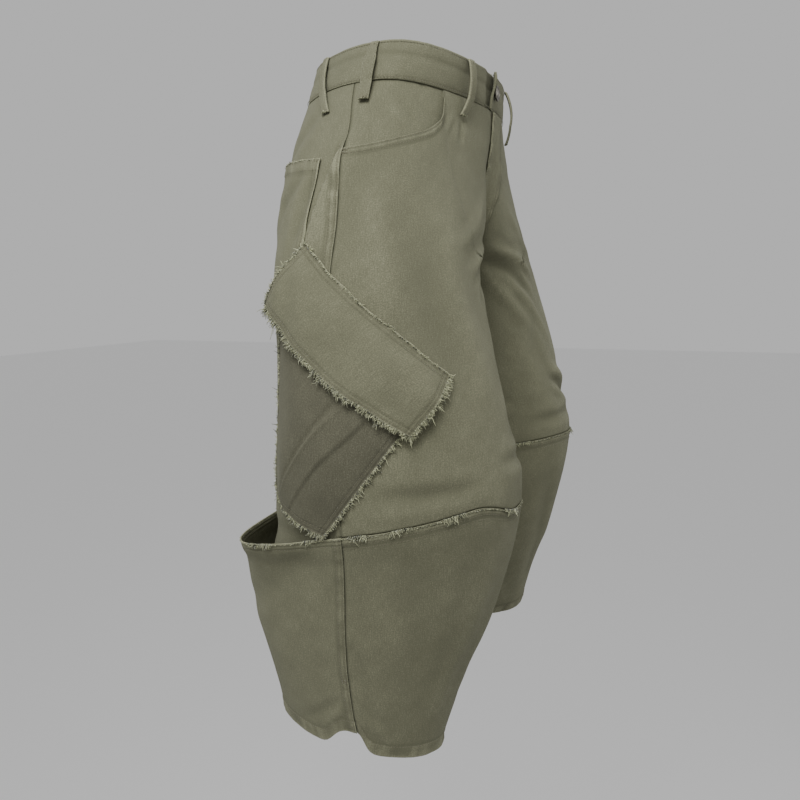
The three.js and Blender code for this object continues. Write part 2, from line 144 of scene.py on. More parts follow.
def smooth_at(table: Sequence, column: str, levels: Array) -> Array:
    """Read a table's column between its rows along a smooth curve.

    Args:
        table: rows that each have a level, from the highest down.
        column: name of the column to read.
        levels: levels to read it at.

    Returns:
        The column's value at each level.
    """
    heights = np.array([row.level for row in table], float)
    values = np.array([getattr(row, column) for row in table], float)
    last = len(table) - 1
    upper = np.clip(np.searchsorted(-heights, -levels, side="right") - 1, 0, last - 1)
    lower = upper + 1
    before = np.maximum(upper - 1, 0)
    after = np.minimum(upper + 2, last)
    run = heights[lower] - heights[upper]
    t = np.clip((levels - heights[upper]) / run, 0, 1)
    slope_upper = (values[lower] - values[before]) / (heights[lower] - heights[before]) * run
    slope_lower = (values[after] - values[upper]) / (heights[after] - heights[upper]) * run
    square, cube = t * t, t * t * t
    return (
        (2 * cube - 3 * square + 1) * values[upper]
        + (cube - 2 * square + t) * slope_upper
        + (3 * square - 2 * cube) * values[lower]
        + (cube - square) * slope_lower
    )


def ramp(value: Array) -> Array:
    """Smooth step from 0 at 0 to 1 at 1."""
    t = np.clip(value, 0, 1)
    return t * t * (3 - 2 * t)


def bell(distance: Array, width: float) -> Array:
    """Bell curve: 1 at no distance, falling away over a width."""
    return np.exp(-((distance / width) ** 2))


@dataclass(frozen=True)
class Form:
    """The hollow form that every panel lies on, the same one as the frame's solids."""

    seam_gap: float = 0.3
    sections: tuple[Section, ...] = (
        Section(0, 0, 140, 140, -25, 80, 130, 0.07, 0),
        Section(-40, 0, 154, 154, -16, 86, 132, 0.05, 0),
        Section(-41, 0, 154, 154, -16, 86, 132, 0.05, 0),
        Section(-70, 16, 157, 147, -13, 88, 128, 0.05, 0),
        Section(-120, 48, 152, 130, -9, 94, 122, 0.03, 0),
        Section(-180, 86, 139, 114, -10, 102, 114, 0.02, 0),
        Section(-235, 118, 126, 104, -9, 110, 105, -0.02, 0),
        Section(-320, 134, 123, 103, -15, 127, 104, 0, 0),
        Section(-395, 138, 128, 102, -18, 142, 108, -0.05, 0),
        Section(-473, 136, 132, 100, -18, 154, 118, -0.18, -0.04),
        Section(-517, 134, 128, 98, -15, 151, 128, -0.11, 0.04),
        Section(-593, 142, 114, 93, -7, 136, 130, 0, 0.07),
        Section(-643, 158, 93, 82, -4, 116, 116, 0.09, 0.09),
        Section(-722, 178, 66, 66, -3, 95, 95, 0.1, 0.18),
    )
    seam_places: tuple[SeamPlace, ...] = (
        SeamPlace(-40, -6),
        SeamPlace(-100, 1),
        SeamPlace(-240, 5),
        SeamPlace(-473, 6),
        SeamPlace(-600, 9),
        SeamPlace(-722, 16),
    )
    pouch: tuple[PouchSection, ...] = (
        PouchSection(-473, 5.5, 7),
        PouchSection(-517, 4.2, 1),
        PouchSection(-593, 3, -1),
        PouchSection(-643, 2.6, 0),
        PouchSection(-735, 2, 0),
    )

    def outline(self, level: Array, angle: Array, square: Amount) -> tuple[Array, Array]:
        """Place on a section's outline seen from above, x growing outward from the body's middle.

        Args:
            level: height of the section's middle.
            angle: place round the leg, in degrees.
            square: squareness of the form, 2 for an ellipse.

        Returns:
            Places outward from the middle and to the back.
        """
        cosine, sine = np.cos(np.radians(angle)), np.sin(np.radians(angle))
        read = lambda column: smooth_at(self.sections, column, level)
        across = np.where(cosine >= 0, read("outward"), read("inward"))
        along = np.where(sine >= 0, read("front"), read("back"))
        power = np.where((cosine > 0) & (sine < 0), square, ELLIPSE)
        swell = (np.abs(cosine) ** power + np.abs(sine) ** power) ** (-1 / power)
        return read("centre") + across * cosine * swell, read("middle") - along * sine * swell

    def waist_rise(self, level: Array, angle: Array) -> Array:
        """Rise of the waist over the hip and its dip behind it, gone a little below the waistband.

        Args:
            level: height of the section's middle.
            angle: place round the leg, in degrees.

        Returns:
            The rise at each place, in millimetres.
        """
        turn = np.radians(angle)
        folded = np.degrees(np.arctan2(np.sin(turn), np.abs(np.cos(turn))))
        over = 3.0 * bell(folded - 22, 26)
        behind = 3.5 * bell(folded + 38, 22)
        return (over - behind) * ramp((level + 110) / 70)

    def point(
        self, level: Array, angle: Array, offset: Amount, square: Amount = ELLIPSE
    ) -> Array:
        """Points of the form, moved out of the cloth.

        Args:
            level: height of the section's middle.
            angle: place round the leg.
            offset: distance out from the form.
            square: 2 for an ellipse, more for a squarer outer back corner.

        Returns:
            Points with x growing outward from the body's middle, in millimetres.
        """
        step = 0.5
        x, y = self.outline(level, angle, square)
        x0, y0 = self.outline(level, angle - step, square)
        x1, y1 = self.outline(level, angle + step, square)
        length = np.hypot(x1 - x0, y1 - y0)
        px = x - (y1 - y0) / length * offset
        py = y + (x1 - x0) / length * offset
        lean = smooth_at(self.sections, "lean", level) * (py - smooth_at(self.sections, "middle", level))
        splay = smooth_at(self.sections, "splay", level) * (px - smooth_at(self.sections, "centre", level))
        return np.stack([px, py, level + lean + splay + self.waist_rise(level, angle)], axis=-1)

    @staticmethod
    def fly_valley(level: Array, away: Array) -> Array:
        """How far the front sinks towards the fly, at a level and a distance from the middle seam.

        Args:
            level: height of the section's middle.
            away: distance from the middle seam.

        Returns:
            Its height, below 0.
        """
        deep = ramp((-52 - level) / 90) * ramp((level + 345) / 90)
        return -8.5 * deep * bell(away, 19)

    def inner_end(self, level: Array) -> Array:
        """Angle at which a section meets the middle of the body, or 180 below the crotch.

        Args:
            level: height of the section's middle.

        Returns:
            The angle at each level.
        """
        centre = smooth_at(self.sections, "centre", level)
        inward = smooth_at(self.sections, "inward", level)
        return np.degrees(np.arccos(np.maximum(-1, -centre / inward)))

    def side_seam(self, level: Array) -> Array:
        """Angle of the side seam at a level."""
        return smooth_at(self.seam_places, "angle", level)

    def panel_angle(self, level: Array, share: Array, facing: int) -> Array:
        """Angle at a share of the way from the side seam to the middle, to the front (1) or the back (-1).

        Args:
            level: height of the section's middle.
            share: shares from the side seam to the middle.
            facing: 1 for the front, -1 for the back.

        Returns:
            The angle at each place.
        """
        gap = np.degrees(self.seam_gap / 2 / smooth_at(self.sections, "outward", level))
        start = self.side_seam(level) + facing * gap
        end = facing * self.inner_end(level)
        return start + (end - start) * share


FORM = Form()


# ------------------------------------------------------------------ folds


@dataclass(frozen=True)
class Crease:
    """One soft ridge (height above 0) or trough, from one place on the leg to another.

    Width is how far its flank reaches and bow how far its middle swings aside, in millimetres. Steep is the
    share of the width that the flank on its right takes, looking along it.
    """

    start: tuple[float, float]
    end: tuple[float, float]
    width: float
    height: float
    bow: float = 0.0
    steep: float = 1.0


class Ripple:
    """Smooth unevenness along a line, the same on every run."""

    def __init__(self, seed: int, spacing: float) -> None:
        """Draw the heights that the line repeats.

        Args:
            seed: seed of its unevenness.
            spacing: distance between two heights.
        """
        self.values = np.random.default_rng(seed).uniform(-1, 1, 512)
        self.spacing = spacing

    def at(self, along: Array) -> Array:
        """Value from -1 to 1 at a distance along the line.

        Args:
            along: distance along the line.

        Returns:
            The value at each distance.
        """
        place = np.asarray(along, float) / self.spacing + 97.0
        low = np.floor(place).astype(int)
        t = ramp(place - low)
        return self.values[low % 512] * (1 - t) + self.values[(low + 1) % 512] * t


class Drape:
    """All folds of one half of the garment, as a height over the form."""

    MM_PER_DEGREE = 2.3
    BOTH = (
        # hip: the fold that runs down from behind the front pocket
        Crease((-98, 2), (-222, -14), 20, 4.2, -1, 0.13),
        Crease((-128, -12), (-214, -25), 7, -2.0, 2),
        # facing and the top of the front: slanting wrinkles
        Crease((-50, 14), (-88, 30), 5, 1.5, 3),
        Crease((-56, 24), (-92, 40), 4, -1.3, 3),
        Crease((-48, 34), (-70, 50), 4, 1.3, 2),
        Crease((-72, 4), (-100, 14), 5, 1.2, 2),
        Crease((-62, 63), (-92, 66), 3.5, -1.6, 1),
        Crease((-60, 58), (-84, 55), 3.5, 1.2, -1),
        # seat and back pocket: slanting drags
        Crease((-60, -20), (-118, -52), 9, -1.4, 5),
        Crease((-75, -60), (-150, -95), 12, 1.6, -8),
        Crease((-128, -18), (-170, -44), 7, -1.5, 3),
        Crease((-140, -40), (-195, -58), 8, 1.3, 4),
        # under the seat
        Crease((-205, -150), (-262, -84), 9, 3.2, 10),
        Crease((-222, -156), (-286, -92), 8, -2.6, 10),
        Crease((-240, -160), (-318, -110), 10, 2.2, 8),
        # front rise: pulls that fan out from the end of the fly
        Crease((-196, 132), (-232, 84), 8, 2.4, -7),
        Crease((-205, 140), (-262, 96), 8, -2.2, -6),
        Crease((-214, 150), (-300, 112), 10, 2.0, -6),
        Crease((-150, 96), (-205, 70), 10, 1.2, 5),
        # front of the thigh: long shallow flutes
        Crease((-170, 40), (-360, 60), 24, -1.8, 6),
        Crease((-190, 66), (-380, 82), 20, 1.8, -6),
        Crease((-150, 22), (-300, 30), 16, 1.2, 5),
        Crease((-300, 112), (-430, 96), 18, -1.8, 6),
        # above the knee seam, where the barrel turns in
        Crease((-438, 18), (-446, 62), 9, -1.6, -3),
        Crease((-432, 74), (-440, 132), 10, -1.9, -4),
        Crease((-420, 140), (-396, 172), 9, 1.6, 4),
        # back of the thigh
        Crease((-330, -70), (-400, -130), 13, -2.4, -9),
        Crease((-352, -62), (-424, -120), 11, 2.2, -8),
        Crease((-290, -60), (-440, -74), 16, 1.6, 6),
        Crease((-420, -58), (-436, -120), 9, -2.2, -6),
        # below the knee: drags off the side seam and flutes up from the hem
        Crease((-492, -8), (-610, -72), 16, -1.1, 10),
        Crease((-520, -2), (-660, -36), 11, 0.8, 6),
        Crease((-560, -90), (-700, -104), 16, 1.1, 6),
        Crease((-540, -130), (-690, -142), 14, -2.0, -5),
        Crease((-500, 30), (-640, 44), 15, -1.3, 6),
        Crease((-520, 74), (-690, 66), 15, 1.5, -5),
        Crease((-500, 112), (-680, 96), 16, -1.8, 6),
        Crease((-560, 148), (-700, 130), 12, 1.6, 5),
    )
    ONLY_RIGHT = (
        Crease((-360, 20), (-440, 44), 14, 1.1, -4),
        Crease((-600, 12), (-700, 26), 9, -1.1, 3),
        Crease((-676, 8), (-716, -8), 5, 1.2, 2),
        Crease((-672, 4), (-712, -24), 5, -1.2, 3),
        Crease((-690, 24), (-722, 40), 6, 1.2, 2),
    )
    ONLY_LEFT = (
        Crease((-372, 104), (-428, 66), 8, -3.0, -8),
        Crease((-356, 98), (-420, 52), 9, 2.2, -8),
        Crease((-488, 60), (-452, 40), 8, 1.8, 3),
        Crease((-240, 120), (-330, 84), 9, 1.8, -7),
        Crease((-640, 20), (-716, 40), 10, 1.6, 4),
    )

    def __init__(self, side: Side) -> None:
        """Gather the creases and the unevenness of one half.

        Args:
            side: half of the garment.
        """
        self.creases = self.BOTH + (self.ONLY_RIGHT if side is Side.RIGHT else self.ONLY_LEFT)
        seed = 11 if side is Side.RIGHT else 29
        self.waves = [Ripple(seed + index, spacing) for index, spacing in enumerate((61, 43, 27, 19))]

    def height(self, level: Array, angle: Array) -> Array:
        """Height of the cloth over the form at places on it.

        Args:
            level: height of the section's middle.
            angle: place round the leg.

        Returns:
            Height in millimetres, positive outward.
        """
        total = self._unevenness(level, angle)
        for crease in self.creases:
            total = total + 1.4 * self._crease(crease, level, angle)
        # folds die away where the waistband holds the cloth and where both halves meet
        calm = ramp((-40 - level) / 40) * ramp((FORM.inner_end(level) - np.abs(angle)) * np.pi / 25)
        to_middle = (FORM.inner_end(level) - angle) * self.MM_PER_DEGREE
        return total * calm + FORM.fly_valley(level, to_middle)

    def _unevenness(self, level: Array, angle: Array) -> Array:
        """Slow unevenness of hung cloth.

        Args:
            level: height of the section's middle.
            angle: place round the leg, in degrees.

        Returns:
            Height at each place, in millimetres.
        """
        across = angle * self.MM_PER_DEGREE
        long, wide, slant, short = self.waves
        return (
            0.9 * long.at(across + 0.3 * level) * wide.at(level - 0.2 * across)
            + 0.45 * slant.at(across + 0.9 * level)
            + 0.3 * short.at(level - 0.6 * across) * long.at(across * 1.7)
        )

    def _crease(self, crease: Crease, level: Array, angle: Array) -> Array:
        """Height of one crease.

        Args:
            crease: the crease.
            level: height of the section's middle.
            angle: place round the leg, in degrees.

        Returns:
            Height at each place, in millimetres.
        """
        from_level, from_angle = crease.start
        to_level, to_angle = crease.end
        run = np.array([(to_angle - from_angle) * self.MM_PER_DEGREE, to_level - from_level])
        length = float(np.hypot(*run))
        along = run / length
        dx = (angle - from_angle) * self.MM_PER_DEGREE
        dy = level - from_level
        t = (dx * along[0] + dy * along[1]) / length
        aside = -dx * along[1] + dy * along[0] - crease.bow * np.sin(np.pi * np.clip(t, 0, 1))
        fade = ramp((t + 0.12) / 0.35) * ramp((1.12 - t) / 0.45)
        width = np.where(aside < 0, crease.width * crease.steep, crease.width)
        body = bell(aside, width)
        hollow = 0.35 * bell(np.abs(aside) - 1.9 * width, width)
        return crease.height * fade * (body - hollow)


# ------------------------------------------------------------------ meshes


@dataclass
class Strand:
    """A line on a finished piece: its points, and unit ways out of the cloth and past the edge."""

    points: Array
    outward: Array
    past: Array

    def part(self, start: float, end: float) -> "Strand":
        """The stretch between two shares of the line's length.

        Args:
            start: share at which it starts.
            end: share at which it ends.

        Returns:
            The stretch as a line of its own.
        """
        along = self.lengths() / self.lengths()[-1]
        keep = (along >= start) & (along <= end)
        return Strand(self.points[keep], self.outward[keep], self.past[keep])

    def hanging(self) -> "Strand":
        """The line a little above the cloth, with the way past it turned back over the cloth."""
        return Strand(self.points + self.outward * 0.9, self.outward, -self.past)

    def lengths(self) -> Array:
        """Length passed at each point, in millimetres.

        Returns:
            The length at each point.
        """
        steps = np.linalg.norm(np.diff(self.points, axis=0), axis=1)
        return np.concatenate([[0.0], np.cumsum(steps)])

    def spaced(self, places: Array) -> "Strand":
        """The line again at given lengths along it.

        Args:
            places: lengths along the line.

        Returns:
            The line with one point at each length.
        """
        along = self.lengths()
        read = lambda rows: np.stack([np.interp(places, along, rows[:, k]) for k in range(3)], axis=1)
        return Strand(read(self.points), unit(read(self.outward)), unit(read(self.past)))


def unit(rows: Array) -> Array:
    """Rows scaled to unit length."""
    return rows / np.maximum(np.linalg.norm(rows, axis=-1, keepdims=True), 1e-9)


def grid_area(points: Array) -> float:
    """Area of a grid of points, in square millimetres.

    Args:
        points: grid of points.
    """
    one = points[1:, 1:] - points[:-1, :-1]
    other = points[1:, :-1] - points[:-1, 1:]
    return float(np.linalg.norm(np.cross(one, other), axis=-1).sum() / 2)


def make_object(
    name: str,
    points: Array,
    faces: Array,
    finish: "Finish",
    cloth: Optional[Array] = None,
    wear: Optional[Array] = None,
    smooth: bool = True,
) -> bpy.types.Object:
    """Turn arrays into a dressed object that rides on the garment.

    Args:
        name: the piece's name.
        points: points in millimetres.
        faces: rows of four corner numbers; a row may repeat its last one for a triangle.
        finish: material of the piece.
        cloth: place of each point in the cut cloth, in millimetres.
        wear: how worn and how shaded each point is, painted into the colour, from -1 (painted shade) to 1
            (faded, and painted highlight).
        smooth: whether the faces are shaded smooth.

    Returns:
        The new object.
    """
    mesh = bpy.data.meshes.new(name)
    mesh.vertices.add(len(points))
    mesh.vertices.foreach_set("co", (np.asarray(points, np.float32) * MM).ravel())
    triangles = faces[:, 2] == faces[:, 3]
    sizes = np.where(triangles, 3, 4)
    corners = faces.ravel() if not triangles.any() else np.concatenate([f[:n] for f, n in zip(faces, sizes)])
    starts = np.concatenate([[0], np.cumsum(sizes)[:-1]])
    mesh.loops.add(len(corners))
    mesh.loops.foreach_set("vertex_index", corners.astype(np.int32))
    mesh.polygons.add(len(faces))
    mesh.polygons.foreach_set("loop_start", starts.astype(np.int32))
    mesh.polygons.foreach_set("use_smooth", np.full(len(faces), smooth))
    if cloth is not None:
        layer = mesh.uv_layers.new(name="cloth")
        layer.data.foreach_set("uv", (cloth[corners] * MM).astype(np.float32).ravel())
    # the per-point attribute holds real fading together with painted shade and painted highlight, which the
    # materials put into the base colour
    if wear is not None:
        attribute = mesh.attributes.new("wear", "FLOAT", "POINT")
        attribute.data.foreach_set("value", np.asarray(wear, np.float32))
    mesh.update(calc_edges=True)
    mesh.validate()
    made = bpy.data.objects.new(name, mesh)
    bpy.context.collection.objects.link(made)
    made.data.materials.append(finish.material())
    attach(made, BODY)
    LOG.info("%s: %d faces", name, len(faces))
    return made


def grid_faces(columns: int, rows: int, side: Side) -> Array:
    """Faces of a closed wall between an outer and an inner grid of points.

    Args:
        columns: points across.
        rows: points down.
        side: half of the garment.

    Returns:
        Rows of four corner numbers.
    """
    layer = columns * rows
    number = np.arange(layer).reshape(rows, columns)
    a, b, c, d = number[:-1, :-1], number[1:, :-1], number[1:, 1:], number[:-1, 1:]
    outer = np.stack([a, b, c, d], axis=-1).reshape(-1, 4)
    inner = outer[:, ::-1] + layer
    rims = []
    for line, flip in ((number[0], True), (number[-1], False), (number[:, 0], False), (number[:, -1], True)):
        strip = np.stack([line[:-1], line[:-1] + layer, line[1:] + layer, line[1:]], axis=-1)
        rims.append(strip[:, ::-1] if flip else strip)
    faces = np.concatenate([outer, inner, *rims])
    return faces if side is Side.LEFT else faces[:, ::-1]


def make_shell(
    node: str,
    walls: tuple[Array, Array],
    side: Side,
    finish: "Finish",
    cloth: tuple[Array, Array],
    wear: Array,
) -> bpy.types.Object:
    """Make a closed wall of cloth that stands in for its solid.

    Args:
        node: the solid that it replaces, which also gives the piece its name.
        walls: grids of points on its outer and its inner face.
        side: half of the garment that it is wound for.
        finish: material of the cloth.
        cloth: grids of the places across and along the cut cloth, in millimetres.
        wear: grid of how worn the cloth is, with painted shade and highlight.

    Returns:
        The new object.
    """
    rows, columns = walls[0].shape[:2]
    made = make_object(
        f"{node}_cloth",
        np.concatenate([wall.reshape(-1, 3) for wall in walls]),
        grid_faces(columns, rows, side),
        finish,
        np.tile(np.stack(cloth, axis=-1).reshape(-1, 2), (2, 1)),
        np.tile(wear.ravel(), 2),
    )
    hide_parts(node)
    return made


EDGE_STEPS = np.array([0, 0.7, 1.5, 2.4, 3.4, 4.6, 6.0, 7.2, 8.4, 9.6, 11.2, 13.4, 15.2, 17.5])
TUCK_STEPS = np.array([4.2, 2.8, 1.8, 1.0, 0.4])
# limit of each point's fading together with its painted shade and highlight
MOST_WEAR_AND_SHADE = 1.2


def graded(
    length: float,
    spacing: float,
    fine_start: bool,
    fine_end: bool,
    tuck_start: bool = False,
    tuck_end: bool = False,
) -> Array:
    """Shares along a length, close together near the ends that carry a seam.

    Args:
        length: the length in millimetres.
        spacing: usual distance between shares.
        fine_start: whether the start carries a seam.
        fine_end: whether the end carries a seam.
        tuck_start: whether the cloth runs on before the start, under its neighbour.
        tuck_end: whether the cloth runs on past the end, under its neighbour.

    Returns:
        Shares from 0 to 1, and a little before or past them where the cloth is tucked.
    """
    start = EDGE_STEPS if fine_start else np.array([0.0])
    end = length - EDGE_STEPS[::-1] if fine_end else np.array([length])
    count = max(2, int(round((end[0] - start[-1]) / spacing)))
    middle = np.linspace(start[-1], end[0], count + 1)[1:-1]
    before = -TUCK_STEPS if tuck_start else np.empty(0)
    past = length + TUCK_STEPS[::-1] if tuck_end else np.empty(0)
    return np.concatenate([before, start, middle, end, past]) / length


@dataclass(frozen=True)
class Relief:
    """Heights of a sewn edge, in millimetres."""

    strip: float = 0.75
    strip_width: float = 8.5
    hem: float = 0.7
    hem_width: float = 14.0
    sink_from: float = 1.3
    sink_run: float = 1.9
    stitch_dip: float = 0.55
    dip_width: float = 1.1
    pucker: float = 0.9
    pucker_reach: float = 9.0
    pucker_spacing: float = 5.5
    lap_stitches: tuple[float, float] = (1.8, 6.9)
    raw_stitches: tuple[float, float] = (3.4, 7.6)
    hem_stitches: float = 12.6


RELIEF = Relief()


@dataclass(frozen=True)
class EdgeWork:
    """What the maker does to one edge of a piece.

    Pucker is how strongly it puckers there, depth how far a sunk edge goes under its neighbour, and span
    the shares along the edge between which the work is done.
    """

    edge: Edge
    finishing: Finishing
    pucker: float = 1.0
    depth: float = 1.35
    span: tuple[float, float] = (0.0, 1.0)


class ClothPiece:
    """One cut piece of canvas as a thin closed shell on the form."""

    def __init__(
        self,
        name: str,
        side: Side,
        shares: Array,
        drops: Array,
        place: Layout,
        drape: Drape,
        works: Iterable[EdgeWork],
        square: Optional[Callable[[Array], Array]] = None,
        thickness: float = 1.2,
        seed: int = 3,
        calm: float = 1.0,
        ragged: float = 0.0,
    ) -> None:
        """Lay the piece out.

        Args:
            name: the piece's name.
            side: half of the garment it is on.
            shares: shares across the piece.
            drops: shares down the piece.
            place: gives level, angle and offset for grids of shares and drops.
            drape: folds of this half.
            works: how its edges are finished.
            square: squareness of the form at a level, an ellipse if left out.
            thickness: thickness of the cloth.
            seed: seed of its own unevenness.
            calm: share of the folds that it takes on.
            ragged: how far its outline wanders, in millimetres.
        """
        self.name, self.side, self.thickness = name, side, thickness
        self.works = tuple(works)
        self.seed = seed
        across, down = np.meshgrid(shares, drops)
        level, angle, offset = place(across, down)
        self.square = square(level) if square else ELLIPSE
        flat = FORM.point(level, angle, offset, self.square)
        self.across, self.row_length = self._passed(flat, 1, shares)
        self.down, self.column_length = self._passed(flat, 0, drops)
        self.cut = self._cut(flat)
        if ragged:
            level, angle = self._ragged(level, angle, ragged)
        folds = drape.height(level, angle) * calm
        seams, self.edge_wear_and_shade = self._edge_relief()
        self.level, self.angle = level, angle
        self.offset = offset + folds + seams
        self.folds = folds
        self.outer = self._placed(self.offset + thickness / 2)
        self.inner = self._placed(self.offset - thickness / 2)
        self.object: Optional[bpy.types.Object] = None

    @staticmethod
    def _passed(points: Array, axis: int, places: Array) -> tuple[Array, Array]:
        """Length passed along a grid, counted from its first whole share.

        Args:
            points: grid of points.
            axis: 0 for down, 1 for across.
            places: shares along that axis.

        Returns:
            The length at each point, and the whole length of each line.
        """
        steps = np.linalg.norm(np.diff(points, axis=axis), axis=-1)
        start = np.zeros_like(np.take(steps, [0], axis=axis))
        passed = np.concatenate([start, np.cumsum(steps, axis=axis)], axis=axis)
        passed = passed - np.take(passed, [np.argmin(np.abs(places))], axis=axis)
        return passed, np.take(passed, [np.argmin(np.abs(places - 1))], axis=axis)

    def _cut(self, points: Array) -> tuple[float, float, float]:
        """Flat size of the piece.

        Args:
            points: grid of points.

        Returns:
            Width, length and area.
        """
        area = grid_area(points)
        width = float(np.ptp(self.across, axis=1).max())
        length = float(np.ptp(self.down, axis=0).max())
        return width, length, area

    def _ragged(self, level: Array, angle: Array, reach: float) -> tuple[Array, Array]:
        """Let the outline wander as a torn edge does.

        Args:
            level: height of the section's middle.
            angle: place round the leg, in degrees.
            reach: how far it wanders.

        Returns:
            The moved levels and angles.
        """
        wander = Ripple(self.seed + 50, 13.0)
        near_side = np.exp(-self.across / 6) - np.exp(-(self.row_length - self.across) / 6)
        near_end = np.exp(-self.down / 6) - np.exp(-(self.column_length - self.down) / 6)
        shift = reach * (near_side * wander.at(self.down) + near_end * wander.at(self.across + 400))
        return level + shift * 0.7, angle + shift * 0.7 / Drape.MM_PER_DEGREE

    def _distances(self, edge: Edge) -> tuple[Array, Array]:
        """Distances from an edge and along it.

        Args:
            edge: the edge that is meant.

        Returns:
            Grids of both distances.
        """
        if edge is Edge.START:
            return self.across, self.down
        if edge is Edge.END:
            return self.row_length - self.across, self.down
        if edge is Edge.TOP:
            return self.down, self.across
        return self.column_length - self.down, self.across

    def _edge_relief(self) -> tuple[Array, Array]:
        """Add up what the work on every edge does to the cloth.

        Returns:
            Grids of height and of wear with painted shade and highlight.
        """
        height = np.zeros_like(self.across)
        edge_wear_and_shade = np.zeros_like(self.across)
        for index, work in enumerate(self.works):
            away, along = self._distances(work.edge)
            whole = self.row_length if work.edge in (Edge.TOP, Edge.FOOT) else self.column_length
            share = along / whole
            within = ramp((share - work.span[0]) * 60 + 1) * ramp((work.span[1] - share) * 60 + 1)
            pucker = Ripple(self.seed + 7 * index, RELIEF.pucker_spacing).at(along)
            pucker = pucker + 0.5 * Ripple(self.seed + 7 * index + 1, 17.0).at(along)
            pucker = pucker * ramp((away + 1) / 3)
            waves = RELIEF.pucker * work.pucker * pucker * bell(away, RELIEF.pucker_reach)
            raised, fade_and_highlight = self._finished(work, away, pucker, waves)
            height += raised * within
            edge_wear_and_shade += fade_and_highlight * within
        return height, np.clip(edge_wear_and_shade, -MOST_WEAR_AND_SHADE, MOST_WEAR_AND_SHADE)

    def _finished(
        self, work: EdgeWork, away: Array, pucker: Array, waves: Array
    ) -> tuple[Array, Array]:
        """Height, fading and painted shade and highlight that one edge's work gives at a distance from it.

        Args:
            work: what is done to the edge.
            away: distance from the edge.
            pucker: unevenness along the edge, from -1 to 1.
            waves: height of the puckers.

        Returns:
            Height, and wear with painted shade and highlight, at each place.
        """
        if work.finishing is Finishing.LAPPED:
            strip = 1 - ramp((away - RELIEF.strip_width + 1) / 2)
            dips = self._dips(away, RELIEF.lap_stitches)
            line = bell(away - 9.2, 1.3)
            # painted shade in the line just past the strip and in the stitch hollows; painted highlight on the
            # raised strip and pucker crests; the folded edge lighter, worn pale and partly a painted highlight
            fade_and_highlight = 0.08 * strip + 0.45 * np.exp(-np.abs(away) / 0.9) - 0.4 * line
            fade_and_highlight = fade_and_highlight + 0.22 * pucker * strip - 0.8 * dips
            return RELIEF.strip * strip - dips + waves, fade_and_highlight
        if work.finishing is Finishing.HEMMED:
            strip = 1 - ramp((away - RELIEF.hem_width + 1) / 2.4)
            line = bell(away - 15.2, 1.6)
            # painted shade in the line below the hem; painted highlight on the pucker crests and painted shade
            # in their troughs; the folded edge lighter, worn pale and partly a painted highlight
            fade_and_highlight = 0.1 * strip - 0.4 * line + 0.4 * pucker * strip + 0.6 * np.exp(-np.abs(away) / 1.2)
            return RELIEF.hem * strip - self._dips(away, (RELIEF.hem_stitches,)) + waves, fade_and_highlight
        if work.finishing is Finishing.SUNK:
            under = ramp((RELIEF.sink_from - away) / RELIEF.sink_run)
            # painted shade where the edge sinks under its neighbour
            return -work.depth * under + waves * 0.8, -0.9 * bell(away, 1.6)
        if work.finishing is Finishing.RAW:
            dips = self._dips(away, RELIEF.raw_stitches[::-1])
            # the raw edge faded pale by wear; painted shade in the stitch hollows; painted highlight and shade
            # following the puckers
            fade_and_highlight = 1.1 * np.exp(-away / 1.8) - 0.7 * dips + 0.25 * pucker * np.exp(-away / 6)
            return waves * 0.6 - dips, fade_and_highlight
        return waves * 0.4, np.zeros_like(away)

    @staticmethod
    def _dips(away: Array, rows: Sequence[float]) -> Array:
        """Hollows under rows of stitches.

        Args:
            away: distance from the edge.
            rows: distances of the rows from the edge.

        Returns:
            Depth at each distance.
        """
        return sum(RELIEF.stitch_dip * bell(away - row, RELIEF.dip_width) for row in rows)

    def _placed(self, offset: Array) -> Array:
        """Points of the piece on its own side of the body's middle.

        Args:
            offset: distance out from the form.

        Returns:
            Points in millimetres.
        """
        points = FORM.point(self.level, self.angle, offset, self.square)
        points[..., 0] = np.maximum(points[..., 0], 0.02) * self.side.value
        return points

    def build(self, finish: "Finish", held: str = "hung") -> bpy.types.Object:
        """Make the piece's object and stand it in for its solid.

        Args:
            finish: material of the cloth.
            held: how the sheet is held; not used.

        Returns:
            The new object.
        """
        # painted light from the folds: lighter on the ridges, darker in the hollows
        fold_highlight_and_shade = np.clip(0.06 * self.folds, -0.25, 0.25)
        wear = np.clip(self.edge_wear_and_shade + fold_highlight_and_shade, -MOST_WEAR_AND_SHADE, MOST_WEAR_AND_SHADE)
        self.object = make_shell(
            self.name, (self.outer, self.inner), self.side, finish, (self.across, self.down), wear
        )
        return self.object

    def line(self, edge: Edge, inset: float) -> Strand:
        """A line on the outer face, a distance inside one edge.

        Args:
            edge: the edge that it follows.
            inset: distance from that edge in millimetres.

        Returns:
            The line, with the ways out of the cloth and past the edge.
        """
        grid = self.outer if edge in (Edge.TOP, Edge.FOOT) else self.outer.swapaxes(0, 1)
        away, _ = self._distances(edge)
        away = away if edge in (Edge.TOP, Edge.FOOT) else away.swapaxes(0, 1)
        if edge in (Edge.FOOT, Edge.END):
            grid, away = grid[::-1], away[::-1]
        count = grid.shape[1]
        at = np.empty((count, 3))
        beyond = np.empty((count, 3))
        for index in range(count):
            passed = np.maximum.accumulate(away[:, index])
            for axis in range(3):
                at[index, axis] = np.interp(inset, passed, grid[:, index, axis])
                beyond[index, axis] = np.interp(inset + 3.0, passed, grid[:, index, axis])
        past = unit(at - beyond)
        along = unit(np.gradient(at, axis=0))
        outward = unit(np.cross(along, past))
        centre = np.array([self.side.value * 135.0, -12.0, 0.0])
        aim = at - centre
        aim[:, 2] = 0
        flip = np.sign((outward * aim).sum(1, keepdims=True))
        return Strand(at, outward * np.where(flip == 0, 1, flip), past)


# ------------------------------------------------------------------ stitches and frayed threads


